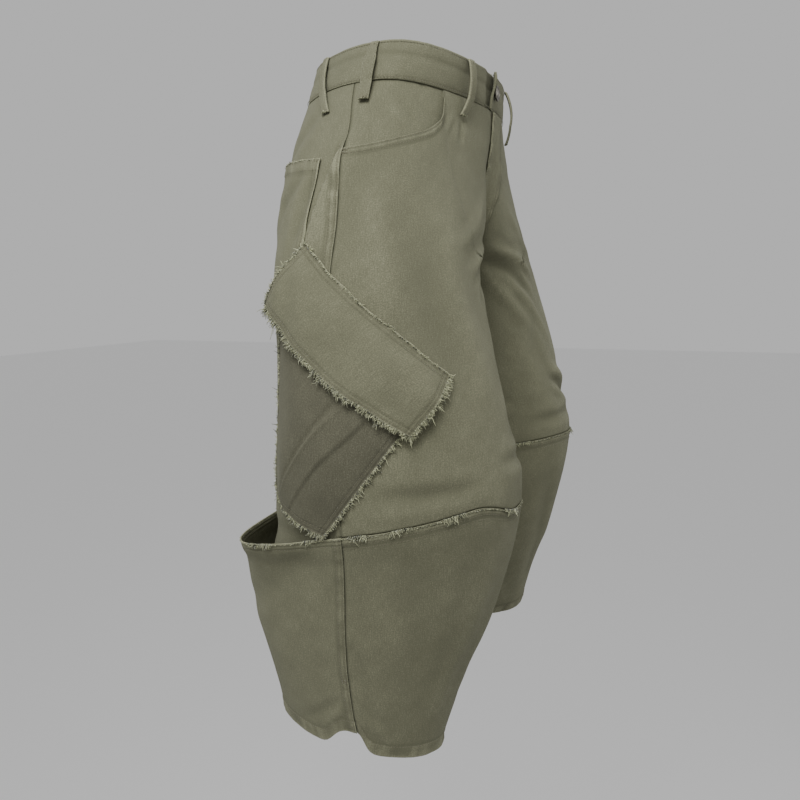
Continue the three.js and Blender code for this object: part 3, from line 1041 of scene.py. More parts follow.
class Stitching:
    """Rows of single stitches, joined in one mesh."""

    LENGTH = 2.5
    PITCH = 3.3
    RADIUS = 0.3

    def __init__(self, seed: int) -> None:
        """Start with nothing sewn.

        Args:
            seed: seed of which stitches are worn away.
        """
        self.chance = np.random.default_rng(seed)
        self.points: list[Array] = []
        self.faces: list[Array] = []
        self.total = 0

    def row(self, strand: Strand, skip: float = 0.0) -> None:
        """Sew a row of stitches along a line.

        Args:
            strand: line on the cloth.
            skip: share of the stitches that are worn away.
        """
        length = strand.lengths()[-1]
        starts = np.arange(1.0, length - self.LENGTH, self.PITCH)
        if len(starts) == 0:
            return
        starts = starts[self.chance.random(len(starts)) >= skip]
        first = strand.spaced(starts)
        last = strand.spaced(starts + self.LENGTH)
        along = unit(last.points - first.points)
        out = unit((first.outward + last.outward) / 2)
        beside = unit(np.cross(along, out))
        middle = (first.points + last.points) / 2 + out * (self.RADIUS * 0.9)
        ends = [first.points - out * 0.15, middle, last.points - out * 0.15]
        widths = [self.RADIUS * 0.55, self.RADIUS, self.RADIUS * 0.55]
        rings = []
        for centre, radius in zip(ends, widths):
            for turn in range(4):
                angle = math.tau * (turn + 0.5) / 4
                rings.append(centre + beside * radius * math.cos(angle) + out * radius * math.sin(angle))
        block = np.stack(rings, axis=1)
        pattern = []
        for ring in range(2):
            for turn in range(4):
                after = (turn + 1) % 4
                low, high = ring * 4, ring * 4 + 4
                pattern.append([low + turn, low + after, high + after, high + turn])
        pattern += [[3, 2, 1, 0], [8, 9, 10, 11]]
        self._keep(block, np.array(pattern))

    def _keep(self, block: Array, pattern: Array) -> None:
        """Keep a block of equal items for the joined mesh.

        Args:
            block: points of each item, one row an item.
            pattern: faces of one item.
        """
        count, each = block.shape[:2]
        offsets = self.total + each * np.arange(count)
        self.points.append(block.reshape(-1, 3))
        self.faces.append((pattern[None] + offsets[:, None, None]).reshape(-1, 4))
        self.total += count * each

    def bar(self, strand: Strand, place: float, width: float) -> None:
        """Sew a bartack: a short dense bar across a line, at a length along it.

        Args:
            strand: line on the cloth.
            place: length along the line.
            width: width of the bar.
        """
        at = strand.spaced(np.array([place]))
        along = unit(np.cross(at.outward, at.past))
        for index in range(7):
            shift = (index - 3) * 0.75
            centre = at.points + along * shift
            points = np.concatenate([centre + at.past * width / 2, centre - at.past * width / 2])
            self.row(Strand(points, np.repeat(at.outward, 2, axis=0), np.repeat(at.past, 2, axis=0)))

    def build(self, name: str, finish: "Finish") -> Optional[bpy.types.Object]:
        """Make the joined object of every row sewn so far.

        Args:
            name: the piece's name.
            finish: material of the piece.

        Returns:
            The new object, or nothing if no row was sewn.
        """
        if not self.points:
            return None
        return make_object(name, np.concatenate(self.points), np.concatenate(self.faces), finish)


class Fringe:
    """Loose threads at raw edges: tapered, curly and uneven, joined in one mesh."""

    SEGMENTS = 4
    SIDES = 3

    def __init__(self, seed: int, spread: float = 1.0) -> None:
        """Start with nothing frayed.

        Args:
            seed: seed of its unevenness.
            spread: how much sparser than usual the threads are.
        """
        self.chance = np.random.default_rng(seed)
        self.spread = spread
        self.points: list[Array] = []
        self.faces: list[Array] = []
        self.total = 0

    def fray(
        self, strand: Strand, reach: float, every: float, stray: float = 0.06, thick: float = 0.42
    ) -> None:
        """Fray a line of raw edge.

        Args:
            strand: the edge, with the way past it.
            reach: usual length of a thread.
            every: distance between threads.
            stray: share of threads that run long and wild.
            thick: radius of a thread.
        """
        length = strand.lengths()[-1]
        count = int(length / (every * self.spread))
        if count < 1:
            return
        draw = self.chance
        places = np.sort(draw.uniform(0, length, count))
        root = strand.spaced(places)
        tuft = 0.62 + 0.38 * Ripple(int(draw.integers(1, 900)), 5.5).at(places)
        wild = draw.random(count) < stray
        size = reach * tuft * draw.uniform(0.5, 1.15, count)
        size = size * np.where(wild, draw.uniform(1.2, 1.8, count), 1)
        along = unit(np.cross(root.outward, root.past))
        lean = draw.normal(0, 0.42, count) * np.where(wild, 2.2, 1)
        lift = draw.normal(0.12, 0.28, count) * np.where(wild, 1.8, 1)
        aim = unit(root.past + along * lean[:, None] + root.outward * lift[:, None])
        start = root.points - root.past * 1.4 + root.outward * draw.uniform(-0.9, 0.5, count)[:, None]
        sway = draw.uniform(0.3, 1.5, (2, count))
        turns = draw.uniform(3.5, 9.0, (2, count))
        phase = draw.uniform(0, math.tau, (2, count))
        drop = np.array([0.0, 0.0, -1.0]) * (size * draw.uniform(0.0, 0.35, count))[:, None]
        centres, radii = [], []
        for step in range(self.SEGMENTS + 1):
            t = step / self.SEGMENTS
            beside = sway[0] * t * np.sin(turns[0] * t + phase[0])
            off = sway[1] * t * np.sin(turns[1] * t + phase[1])
            place = start + aim * (size * t)[:, None] + drop * t * t
            centres.append(place + along * beside[:, None] + root.outward * off[:, None])
            radii.append(thick * (1 - 0.6 * t))
        self._keep(centres, radii, root)

    def _keep(self, centres: list[Array], radii: list[float], root: Strand) -> None:
        """Keep the tubes of a line of threads for the joined mesh.

        Args:
            centres: middles of each ring of every thread.
            radii: radius of each ring.
            root: roots of the threads.
        """
        way = unit(centres[-1] - centres[0])
        beside = unit(np.cross(way, root.outward + 0.01))
        over = unit(np.cross(beside, way))
        rings = []
        for centre, radius in zip(centres, radii):
            for turn in range(self.SIDES):
                angle = math.tau * turn / self.SIDES
                rings.append(centre + beside * radius * math.cos(angle) + over * radius * math.sin(angle))
        block = np.stack(rings, axis=1)
        pattern = []
        for step in range(self.SEGMENTS):
            for turn in range(self.SIDES):
                after = (turn + 1) % self.SIDES
                low, high = step * self.SIDES, (step + 1) * self.SIDES
                pattern.append([low + turn, low + after, high + after, high + turn])
        top = self.SEGMENTS * self.SIDES
        pattern += [[2, 1, 0, 0], [top, top + 1, top + 2, top + 2]]
        offsets = self.total + block.shape[1] * np.arange(block.shape[0])
        self.points.append(block.reshape(-1, 3))
        self.faces.append((np.array(pattern)[None] + offsets[:, None, None]).reshape(-1, 4))
        self.total += block.shape[0] * block.shape[1]

    def build(self, name: str, finish: "Finish") -> Optional[bpy.types.Object]:
        """Make the joined object of every edge frayed so far.

        Args:
            name: the piece's name.
            finish: material of the piece.

        Returns:
            The new object, or nothing if no edge was frayed.
        """
        if not self.points:
            return None
        points = np.concatenate(self.points)
        each = self.SIDES * (self.SEGMENTS + 1)
        tone = self.chance.uniform(-1.0, 1.0, len(points) // each)
        root_to_tip = np.repeat(np.linspace(-0.7, 0.35, self.SEGMENTS + 1), self.SIDES)
        wear = (tone[:, None] + root_to_tip[None]).ravel()
        return make_object(name, points, np.concatenate(self.faces), finish, wear=wear)


# ------------------------------------------------------------------ finishes


class Value:
    """A shader socket that adds Math nodes when it is used in an expression."""

    def __init__(self, graph: "Graph", socket: bpy.types.NodeSocket) -> None:
        """Wrap a socket."""
        self.graph, self.socket = graph, socket

    def _math(self, operation: str, first: object, second: object) -> "Value":
        """Add a Math node.

        Args:
            operation: what it does.
            first: first value or number.
            second: second value or number.

        Returns:
            The node's output.
        """
        made = self.graph.node("ShaderNodeMath", {"operation": operation}, {0: first, 1: second})
        return Value(self.graph, made.outputs[0])

    def __add__(self, other: object) -> "Value":
        """Sum of two values."""
        return self._math("ADD", self, other)

    __radd__ = __add__

    def __mul__(self, other: object) -> "Value":
        """Product of two values."""
        return self._math("MULTIPLY", self, other)

    __rmul__ = __mul__

    def __sub__(self, other: object) -> "Value":
        """This value less another."""
        return self._math("SUBTRACT", self, other)

    def __rsub__(self, other: object) -> "Value":
        """Another value less this one."""
        return self._math("SUBTRACT", other, self)

    def sine(self) -> "Value":
        """Sine of the value."""
        return self._math("SINE", self, 0.0)


class Graph:
    """A material's node tree, with one way to add any node."""

    def __init__(self, name: str) -> None:
        """Start an empty material.

        Args:
            name: the material's name.
        """
        self.material = bpy.data.materials.new(name)
        self.material.use_nodes = True
        self.tree = self.material.node_tree
        self.tree.nodes.clear()

    def node(self, kind: str, settings: dict, inputs: dict) -> bpy.types.Node:
        """Add a node.

        Args:
            kind: the node's type.
            settings: its own settings, set before anything is linked; "stops" fills a colour ramp.
            inputs: values or links of its sockets, by name or number.

        Returns:
            The new node.
        """
        made = self.tree.nodes.new(kind)
        for name, value in settings.items():
            if name == "stops":
                self._stops(made.color_ramp, value)
            else:
                setattr(made, name, value)
        for key, value in inputs.items():
            if isinstance(value, Value):
                self.tree.links.new(value.socket, made.inputs[key])
            elif isinstance(value, bpy.types.NodeSocket):
                self.tree.links.new(value, made.inputs[key])
            else:
                made.inputs[key].default_value = value
        return made

    @staticmethod
    def _stops(band: bpy.types.ColorRamp, stops: Sequence[tuple[float, tuple]]) -> None:
        """Fill a colour ramp.

        Args:
            band: the ramp.
            stops: places and colours.
        """
        while len(band.elements) < len(stops):
            band.elements.new(0.5)
        for element, (place, colour) in zip(band.elements, stops):
            element.position = place
            element.color = colour

    def value(self, kind: str, settings: dict, inputs: dict, output: object = 0) -> Value:
        """Add a node and hold one of its outputs."""
        return Value(self, self.node(kind, settings, inputs).outputs[output])

    def colour(self, stops: Sequence[tuple[float, tuple]], tone: Value) -> bpy.types.NodeSocket:
        """Colour of a ramp at a tone."""
        return self.node("ShaderNodeValToRGB", {"stops": stops}, {0: tone}).outputs["Color"]

    def bump(self, strength: float, distance: float, height: Value) -> bpy.types.NodeSocket:
        """Normal that a height gives."""
        inputs = {"Strength": strength, "Distance": distance, "Height": height}
        return self.node("ShaderNodeBump", {}, inputs).outputs["Normal"]

    def surface(self, sockets: dict) -> bpy.types.Material:
        """Close the material with one principled shader, whose sockets are given by name.

        Args:
            sockets: values and links by socket name.

        Returns:
            The material.
        """
        shader = self.node("ShaderNodeBsdfPrincipled", {}, sockets)
        self.node("ShaderNodeOutputMaterial", {}, {"Surface": shader.outputs[0]})
        return self.material

    def noise(
        self, vector: bpy.types.NodeSocket, scale: float, detail: float, roughness: float = 0.5
    ) -> Value:
        """Noise from 0 to 1 at a scale."""
        inputs = {"Vector": vector, "Scale": scale, "Detail": detail, "Roughness": roughness}
        return self.value("ShaderNodeTexNoise", {}, inputs, "Fac")


def linear(red: int, green: int, blue: int) -> tuple[float, float, float, float]:
    """Turn a colour as it is seen on a screen into light values.

    Args:
        red: red level, 0 to 255.
        green: green level, 0 to 255.
        blue: blue level, 0 to 255.

    Returns:
        Light values with full cover.
    """
    turn = lambda level: ((level / 255 + 0.055) / 1.055) ** 2.4
    return turn(red), turn(green), turn(blue), 1.0


@dataclass(frozen=True)
class Finish:
    """A finish with its own name and the record slot that it belongs to."""

    name: str
    slot: str

    def material(self) -> bpy.types.Material:
        """The finish's material, made once."""
        return bpy.data.materials.get(self.name) or self._make()

    def _make(self) -> bpy.types.Material:
        """Make the finish's material."""
        raise NotImplementedError


@dataclass(frozen=True)
class Canvas(Finish):
    """Washed cotton canvas: olive, matt, mottled; faded edges, painted highlight on ridges, painted shade in
    seams and hollows.
    """

    # the darkest stop is reached by random mottling and by painted shade, the lightest by worn fading and by
    # painted highlight
    deep: tuple = linear(64, 65, 51)
    usual: tuple = linear(97, 97, 79)
    fade_and_highlight: tuple = linear(148, 148, 123)
    grain: float = 0.5
    twill_pitch: float = 0.0011
    roughness: float = 0.95

    def _make(self) -> bpy.types.Material:
        """Weave, slubs, mottling, fading, and the painted shade and highlight of the canvas.

        Returns:
            The material.
        """
        graph = Graph(self.name)
        place = graph.node("ShaderNodeUVMap", {"uv_map": "cloth"}, {}).outputs["UV"]
        parts = graph.node("ShaderNodeSeparateXYZ", {}, {0: place})
        across, along = Value(graph, parts.outputs[0]), Value(graph, parts.outputs[1])
        cloud = graph.noise(place, 9.0, 3.0)
        patches = graph.noise(place, 46.0, 4.0, 0.6)
        fleck = graph.noise(place, 800.0, 2.0, 0.7)
        slub_place = graph.node("ShaderNodeCombineXYZ", {}, {0: across * 900.0, 1: along * 95.0}).outputs[0]
        slub = graph.noise(slub_place, 1.0, 2.0)
        wear = graph.value("ShaderNodeAttribute", {"attribute_name": "wear"}, {}, "Fac")
        # the per-point attribute adds worn fading and painted highlight, and takes away painted shade in seams,
        # creases and fold hollows
        tone = (
            0.5
            + (cloud - 0.5) * 0.22
            + (patches - 0.5) * 0.16
            + (fleck - 0.5) * (self.grain * 1.5)
            + (slub - 0.5) * (self.grain * 0.5)
            + wear * (patches * 0.2 + 0.2)
        )
        stops = [(0.0, self.deep), (0.5, self.usual), (1.0, self.fade_and_highlight)]
        turns = math.tau / self.twill_pitch
        twill = (across * turns + along * (turns * 0.8)).sine()
        height = twill * 0.25 + fleck * 0.9 + slub * 0.7
        return graph.surface(
            {
                "Base Color": graph.colour(stops, tone),
                "Roughness": self.roughness,
                "Specular IOR Level": 0.12,
                "Sheen Weight": 0.1,
                "Sheen Roughness": 0.5,
                "Sheen Tint": (0.72, 0.73, 0.58, 1.0),
                "Normal": graph.bump(0.5, 0.0005, height),
            }
        )


@dataclass(frozen=True)
class Thread(Finish):
    """Cotton thread, by itself or frayed from the cloth."""

    dark: tuple = linear(42, 44, 30)
    light: tuple = linear(188, 190, 152)

    def _make(self) -> bpy.types.Material:
        """Twisted cotton, darker and lighter from thread to thread.

        Returns:
            The material.
        """
        graph = Graph(self.name)
        place = graph.node("ShaderNodeTexCoord", {}, {}).outputs["Object"]
        change = graph.noise(place, 160.0, 2.0)
        fibre = graph.noise(place, 2600.0, 1.0)
        wear = graph.value("ShaderNodeAttribute", {"attribute_name": "wear"}, {}, "Fac")
        stops = [(0.0, self.dark), (1.0, self.light)]
        tone = change * 0.4 + wear * 0.4 + 0.3
        return graph.surface(
            {
                "Base Color": graph.colour(stops, tone),
                "Roughness": 0.9,
                "Specular IOR Level": 0.2,
                "Sheen Weight": 0.3,
                "Normal": graph.bump(0.3, 0.0002, fibre),
            }
        )


@dataclass(frozen=True)
class AgedMetal(Finish):
    """Dark antiqued metal, rubbed brighter in places."""

    dark: tuple = linear(52, 50, 45)
    rubbed: tuple = linear(120, 116, 104)

    def _make(self) -> bpy.types.Material:
        """Dark metal with brighter rubbed blotches.

        Returns:
            The material.
        """
        graph = Graph(self.name)
        place = graph.node("ShaderNodeTexCoord", {}, {}).outputs["Object"]
        blotch = graph.noise(place, 260.0, 4.0, 0.65)
        fine = graph.noise(place, 1700.0, 2.0)
        stops = [(0.38, self.dark), (0.78, self.rubbed)]
        return graph.surface(
            {
                "Base Color": graph.colour(stops, blotch),
                "Metallic": 0.85,
                "Roughness": 0.3 + fine * 0.3,
                "Normal": graph.bump(0.25, 0.0002, fine),
            }
        )


@dataclass(frozen=True)
class PaleGround(Finish):
    """Plain pale floor."""

    tone: tuple = (0.9, 0.9, 0.9, 1.0)

    def _make(self) -> bpy.types.Material:
        """One plain matt tone."""
        return Graph(self.name).surface({"Base Color": self.tone, "Roughness": 0.95})


CANVAS = Canvas("washed_canvas", "canvas")
# darker copy of the canvas for the cargo pocket: painted shade for the shadow under the flap
SHADED_POCKET_CANVAS = Canvas(
    "shaded_pocket_canvas", "canvas", deep=linear(52, 52, 42), usual=linear(80, 79, 66), fade_and_highlight=linear(124, 123, 104)
)
TAPE = Canvas("zip_tape_cloth", "zip_tape", deep=linear(46, 46, 36), usual=linear(70, 69, 55))
THREAD = Thread("sewing_thread", "canvas", dark=linear(62, 60, 45), light=linear(118, 115, 92))
FRAYED = Thread("frayed_thread", "canvas")
METAL = AgedMetal("aged_metal", "dark_metal")


# ------------------------------------------------------------------ the pieces


@dataclass
class Leg:
    """One half of the garment below the waistband: its panels, pockets, flap, seams and raw edges."""

    side: Side
    waist_seam: float = -40.15
    knee: float = -473.0
    hem: float = -722.0
    spacing: float = 4.4
    scoop: tuple[tuple[float, float], ...] = (
        (0, 70),
        (0.1, 66.5),
        (0.2, 62),
        (0.3, 56),
        (0.39, 49.5),
        (0.46, 43),
        (0.515, 34),
        (0.545, 23),
        (0.557, 10),
        (0.562, 0),
    )
    scoop_end: float = 0.562
    facing_depth: float = 92.0
    facing_reach: float = 0.6
    inner_back_foot: float = -545.0
    inner_inset: float = 3.0
    inner_ramp: float = 20.0
    pouch_seam_run: float = 30.0
    pouch_inseam_run: float = 60.0
    pocket_standoff: float = 2.6
    back_pocket: tuple = ((-113, -72), (-118, -10), (-241, -15), (-238, -67))
    cargo_pocket: tuple = ((-252, -31), (-338, 45), (-470, 0), (-430, -42))
    cargo_flap: tuple = ((-199, -10), (-326, 56), (-381, 34), (-254, -36))
    cargo_bulge: float = 9.0
    knee_clumps: tuple = ((0.035, 0.08), (0.13, 0.19), (0.245, 0.315), (0.42, 0.5), (0.7, 0.76), (0.88, 0.93))
    flap_standoff: float = 6.2
    flap_corner_lift: float = 5.0
    pieces: dict[str, ClothPiece] = field(default_factory=dict)

    def __post_init__(self) -> None:
        """Set up the folds, the needle and the fringe of this half."""
        self.drape = Drape(self.side)
        base = 100 if self.side is Side.RIGHT else 200
        self.seed = base
        self.needle = Stitching(base + 1)
        self.fringe = Fringe(base + 2, 1.0 if self.side is Side.RIGHT else 1.5)

    def build(self) -> None:
        """Build every piece of this half."""
        self._upper_front()
        self._upper_back()
        self._lower_front()
        self._lower_back()
        self._facing()
        self._back_pocket()
        self._cargo_pocket()
        self._cargo_flap()
        self._sew()
        self._fray()
        self.needle.build(f"stitching_{self.side.word}", THREAD)
        self.fringe.build(f"frayed_edges_{self.side.word}", FRAYED)

    def _add(self, name: str, finish: Finish = CANVAS, **layout: object) -> ClothPiece:
        """Cut one piece, build it and remember it.

        Args:
            name: the piece's name without its side.
            finish: material of the piece.
            layout: how the piece is laid out.

        Returns:
            The piece.
        """
        seed = self.seed + len(self.pieces) * 3
        piece = ClothPiece(f"{name}_{self.side.word}", self.side, drape=self.drape, seed=seed, **layout)
        piece.build(finish)
        self.pieces[name] = piece
        return piece

    def _scoop_drop(self, share: Array) -> Array:
        """How far below the waist seam the front pocket's scoop lies.

        Args:
            share: shares from the side seam to the middle.

        Returns:
            The drop at each share.
        """
        knots = np.array(self.scoop, float)
        slopes = np.gradient(knots, axis=0)
        count = len(knots) - 1
        place = np.linspace(0, count, 12 * count + 1)
        low = np.minimum(place.astype(int), count - 1)
        t = (place - low)[:, None]
        curve = (
            (2 * t**3 - 3 * t**2 + 1) * knots[low]
            + (t**3 - 2 * t**2 + t) * slopes[low]
            + (3 * t**2 - 2 * t**3) * knots[low + 1]
            + (t**3 - t**2) * slopes[low + 1]
        )
        return np.interp(share, curve[:, 0], np.maximum(curve[:, 1], 0))

    def _knee_dip(self, level: Array, angle: Array) -> Array:
        """Lower the knee seam at the front of the right leg.

        Args:
            level: height of the section's middle.
            angle: place round the leg, in degrees.

        Returns:
            The moved levels.
        """
        if self.side is Side.LEFT:
            return level
        across = ramp((angle - 55) / 30) * ramp((165 - angle) / 40)
        return level - 20 * across * bell(level - self.knee, 45)

    def _upper_front(self) -> None:
        """Build the front from the waist to the knee seam, cut away at the pocket."""

        def place(across: Array, down: Array) -> tuple:
            """Lay the front out below the scoop."""
            top = self.waist_seam - self._scoop_drop(across)
            tucked = np.where((down < 0) & (across < self.scoop_end), 0.08, 1.0)
            level = top + (self.knee + 0.15 - top) * down * tucked
            angle = FORM.panel_angle(level, across, 1)
            gape = 2.4 * bell(across - 0.535, 0.03) * np.exp(-np.maximum(down, 0) * 30)
            return self._knee_dip(level, angle), angle, gape * ramp(self._scoop_drop(across) / 8)

        low = graded(330, self.spacing, True, True, tuck_start=True)
        scoop_side = np.linspace(0.485, 0.57, 26)
        shares = np.unique(np.concatenate([low[(low < 0.482) | (low > 0.573)], scoop_side]))
        self._add(
            "upper_front",
            shares=shares,
            drops=graded(400, self.spacing, True, True, tuck_start=True, tuck_end=True),
            place=place,
            works=(
                EdgeWork(Edge.START, Finishing.SUNK, 0.8),
                EdgeWork(Edge.TOP, Finishing.LAPPED, 0.3, span=(0.0, self.scoop_end - 0.02)),
                EdgeWork(Edge.TOP, Finishing.SUNK, 0.3, depth=2.1, span=(self.scoop_end + 0.004, 1.0)),
                EdgeWork(Edge.FOOT, Finishing.SUNK, 0.7),
                self._middle_seam(),
            ),
        )

    def _middle_seam(self) -> EdgeWork:
        """Work on the seam in the middle of the body: the left half laps over the right.

        Returns:
            The work on that edge.
        """
        if self.side is Side.LEFT:
            return EdgeWork(Edge.END, Finishing.LAPPED, 0.5)
        return EdgeWork(Edge.END, Finishing.SUNK, 0.5, depth=0.8)

    def _upper_back(self) -> None:
        """Build the back from the waist down into the pouch."""
        top, foot = self.waist_seam, self.inner_back_foot

        def place(across: Array, down: Array) -> tuple:
            """Lay the back out, drawn in below the knee."""
            level = top + (foot - top) * down
            inset = self.inner_inset * ramp((self.knee + self.inner_ramp - level) / self.inner_ramp)
            return level, FORM.panel_angle(level, across, -1), -inset

        self._add(
            "upper_back",
            shares=graded(330, 3.6, True, True),
            drops=graded(505, 4.2, True, False, tuck_start=True),
            place=place,
            works=(
                EdgeWork(Edge.START, Finishing.PLAIN, 0.5, span=(0.0, 0.13)),
                EdgeWork(Edge.START, Finishing.LAPPED, 1.3, span=(0.16, 1.0)),
                EdgeWork(Edge.TOP, Finishing.SUNK, 0.3, depth=2.1),
                self._middle_seam(),
            ),
        )

    def _hem_level(self, level: Array, angle: Array, facing: int) -> Array:
        """Raise the hem at the side seam.

        Args:
            level: height of the section's middle.
            angle: place round the leg, in degrees.
            facing: 1 for the front, -1 for the back.

        Returns:
            The moved levels.
        """
        away = angle - FORM.side_seam(np.array(self.hem))
        near_hem = ramp((self.hem + 42 - level) / 42)
        if self.side is Side.LEFT:
            return level + 13 * near_hem * bell(away, 9)
        notch = bell(away, 6) if facing > 0 else np.exp(-((away / 17) ** 4))
        return level + near_hem * (23 * notch - 7)

    def _lower_front(self) -> None:
        """Build the front below the knee seam."""
        top = self.knee - 0.15

        def place(across: Array, down: Array) -> tuple:
            """Lay the lower front out between knee and hem."""
            level = top + (self.hem - top) * down
            angle = FORM.panel_angle(level, across, 1)
            level = self._knee_dip(self._hem_level(level, angle, 1), angle)
            return level, angle, np.zeros_like(level)

        self._add(
            "lower_front",
            shares=graded(330, self.spacing, True, True, tuck_start=True),
            drops=graded(250, self.spacing, True, True),
            place=place,
            works=(
                EdgeWork(Edge.START, Finishing.SUNK, 0.8),
                EdgeWork(Edge.TOP, Finishing.LAPPED, 0.9),
                EdgeWork(Edge.FOOT, Finishing.HEMMED, 1.1),
                EdgeWork(Edge.END, Finishing.SUNK, 0.4, depth=0.8),
            ),
        )

    def _lower_back(self) -> None:
        """Build the back below the open pouch rim."""
        top = self.knee - 0.15

        def place(across: Array, down: Array) -> tuple:
            """Lay the lower back out, standing off at the pouch."""
            level = top + (self.hem - top) * down
            angle = FORM.panel_angle(level, across, -1)
            from_seam = ramp((FORM.side_seam(level) - angle) / self.pouch_seam_run)
            from_inseam = ramp((angle + 180) / self.pouch_inseam_run)
            offset = smooth_at(FORM.pouch, "standoff", level) * from_seam * from_inseam
            return self._hem_level(level, angle, -1), angle, offset

        self._add(
            "lower_back",
            shares=graded(380, self.spacing, True, True),
            drops=graded(250, self.spacing, True, True),
            place=place,
            square=lambda level: smooth_at(FORM.pouch, "square", level),
            works=(
                EdgeWork(Edge.START, Finishing.LAPPED, 0.9),
                EdgeWork(Edge.TOP, Finishing.RAW, 1.0),
                EdgeWork(Edge.FOOT, Finishing.HEMMED, 1.1),
                EdgeWork(Edge.END, Finishing.SUNK, 0.4, depth=0.8),
            ),
        )

    def _facing(self) -> None:
        """Build the piece that shows in the pocket's scoop."""

        def place(across: Array, down: Array) -> tuple:
            """Lay the facing out under the front."""
            level = self.waist_seam - self.facing_depth * down
            near_seam = 0.8 * ramp((level + 108) / 8) * (1 - ramp(across * 4))
            return level, FORM.panel_angle(level, across * self.facing_reach, 1), near_seam - 1.9

        self._add(
            "front_pocket_facing",
            shares=graded(180, self.spacing, True, False, tuck_start=True),
            drops=graded(92, self.spacing, True, False, tuck_start=True),
            place=place,
            works=(
                EdgeWork(Edge.TOP, Finishing.SUNK, 0.5, depth=0.5),
                EdgeWork(Edge.START, Finishing.SUNK, 0.2, depth=0.3),
            ),
            calm=0.8,
        )

    def _patch(self, corners: tuple) -> Callable[[Array, Array], tuple[Array, Array]]:
        """Make the layout of a patch with four corners.

        Args:
            corners: level and angle of each corner, round from the top back one.

        Returns:
            A function that gives level and angle at shares.
        """

        def place(across: Array, down: Array) -> tuple[Array, Array]:
            """Level and angle between the corners.

            Args:
                across: shares across the piece.
                down: shares down the piece.

            Returns:
                Level and angle of each place.
            """
            top_back, top_front, low_front, low_back = (np.array(corner, float) for corner in corners)
            upper = top_back + (top_front - top_back) * across[..., None]
            lower = low_back + (low_front - low_back) * across[..., None]
            both = upper + (lower - upper) * down[..., None]
            return both[..., 0], both[..., 1]

        return place

    def _back_pocket(self) -> None:
        """Build the patch pocket on the seat."""
        at = self._patch(self.back_pocket)

        def place(across: Array, down: Array) -> tuple:
            """Lay the back pocket out, gaping a little at its mouth."""
            level, angle = at(across, down)
            gape = 1.2 * np.sin(np.pi * across) * np.exp(-down * 6)
            return level, angle, self.pocket_standoff + gape

        self._add(
            "back_pocket",
            shares=graded(150, 3.0, True, True),
            drops=graded(125, 3.0, True, True),
            place=place,
            works=(
                EdgeWork(Edge.START, Finishing.RAW, 0.6),
                EdgeWork(Edge.END, Finishing.RAW, 0.6),
                EdgeWork(Edge.TOP, Finishing.HEMMED, 0.6),
                EdgeWork(Edge.FOOT, Finishing.RAW, 0.6),
            ),
            ragged=0.5,
        )

    def _cargo_pocket(self) -> None:
        """Build the tilted pocket with its curved pleat."""
        at = self._patch(self.cargo_pocket)

        def place(across: Array, down: Array) -> tuple:
            """Lay the pocket out with its swell, pleat and slack."""
            level, angle = at(across, down)
            swell = np.sin(np.pi * across) * np.sin(np.pi * np.minimum(down * 0.8 + 0.1, 1))
            rear = across - (0.67 - 0.42 * down**2)
            fore = across - (0.83 - 0.36 * down**2)
            pleat = 2.4 * ramp(rear / 0.016 + 0.5) * ramp(0.5 - fore / 0.03)
            lip = 1.0 * bell(rear - 0.008, 0.011) - 1.0 * bell(rear + 0.026, 0.014)
            slack = 1.3 * np.sin(across * 15 + down * 4) * down + 0.9 * np.sin(down * 11 - across * 6)
            ends = np.sin(np.pi * np.clip(down, 0, 1)) ** 0.5
            inner = np.sin(np.pi * np.clip(across, 0, 1)) ** 0.6
            return level, angle, (
                self.pocket_standoff + self.cargo_bulge * swell + (pleat + lip) * ends + slack * ends * inner
            )

        raw = tuple(EdgeWork(edge, Finishing.RAW, 1.0) for edge in Edge)
        # the pocket takes the darker canvas copy, painted shade for the flap's shadow
        self._add(
            "cargo_pocket",
            SHADED_POCKET_CANVAS,
            shares=graded(185, 2.1, True, True),
            drops=graded(175, 2.8, True, True),
            place=place,
            works=raw,
            ragged=1.6,
            calm=0.6,
        )

    def _cargo_flap(self) -> None:
        """Build the raw-edged flap over the pocket's mouth."""
        at = self._patch(self.cargo_flap)

        def place(across: Array, down: Array) -> tuple:
            """Lay the flap out over the pocket, its rear corner lifted."""
            level, angle = at(across, down)
            over = self.flap_standoff * ramp(down * 2.5)
            over = over + self.cargo_bulge * 0.75 * np.sin(np.pi * across) * ramp(down * 1.5)
            corner = self.flap_corner_lift * ramp(1 - across * 4) * ramp(down)
            wave = 1.3 * down * np.sin(across * 9.5 + 0.6) + 0.8 * down * np.sin(across * 21)
            drags = 1.1 * np.sin(across * 26 - down * 9) * (1 - 0.5 * down)
            drags = drags * np.sin(np.pi * np.clip(down, 0, 1))
            return level, angle, self.pocket_standoff + over + corner + wave + drags

        raw = tuple(EdgeWork(edge, Finishing.RAW, 0.8) for edge in Edge)
        self._add(
            "cargo_flap",
            shares=graded(205, 2.6, True, True),
            drops=graded(74, 2.6, True, True),
            place=place,
            works=raw,
            ragged=1.0,
            calm=0.6,
        )

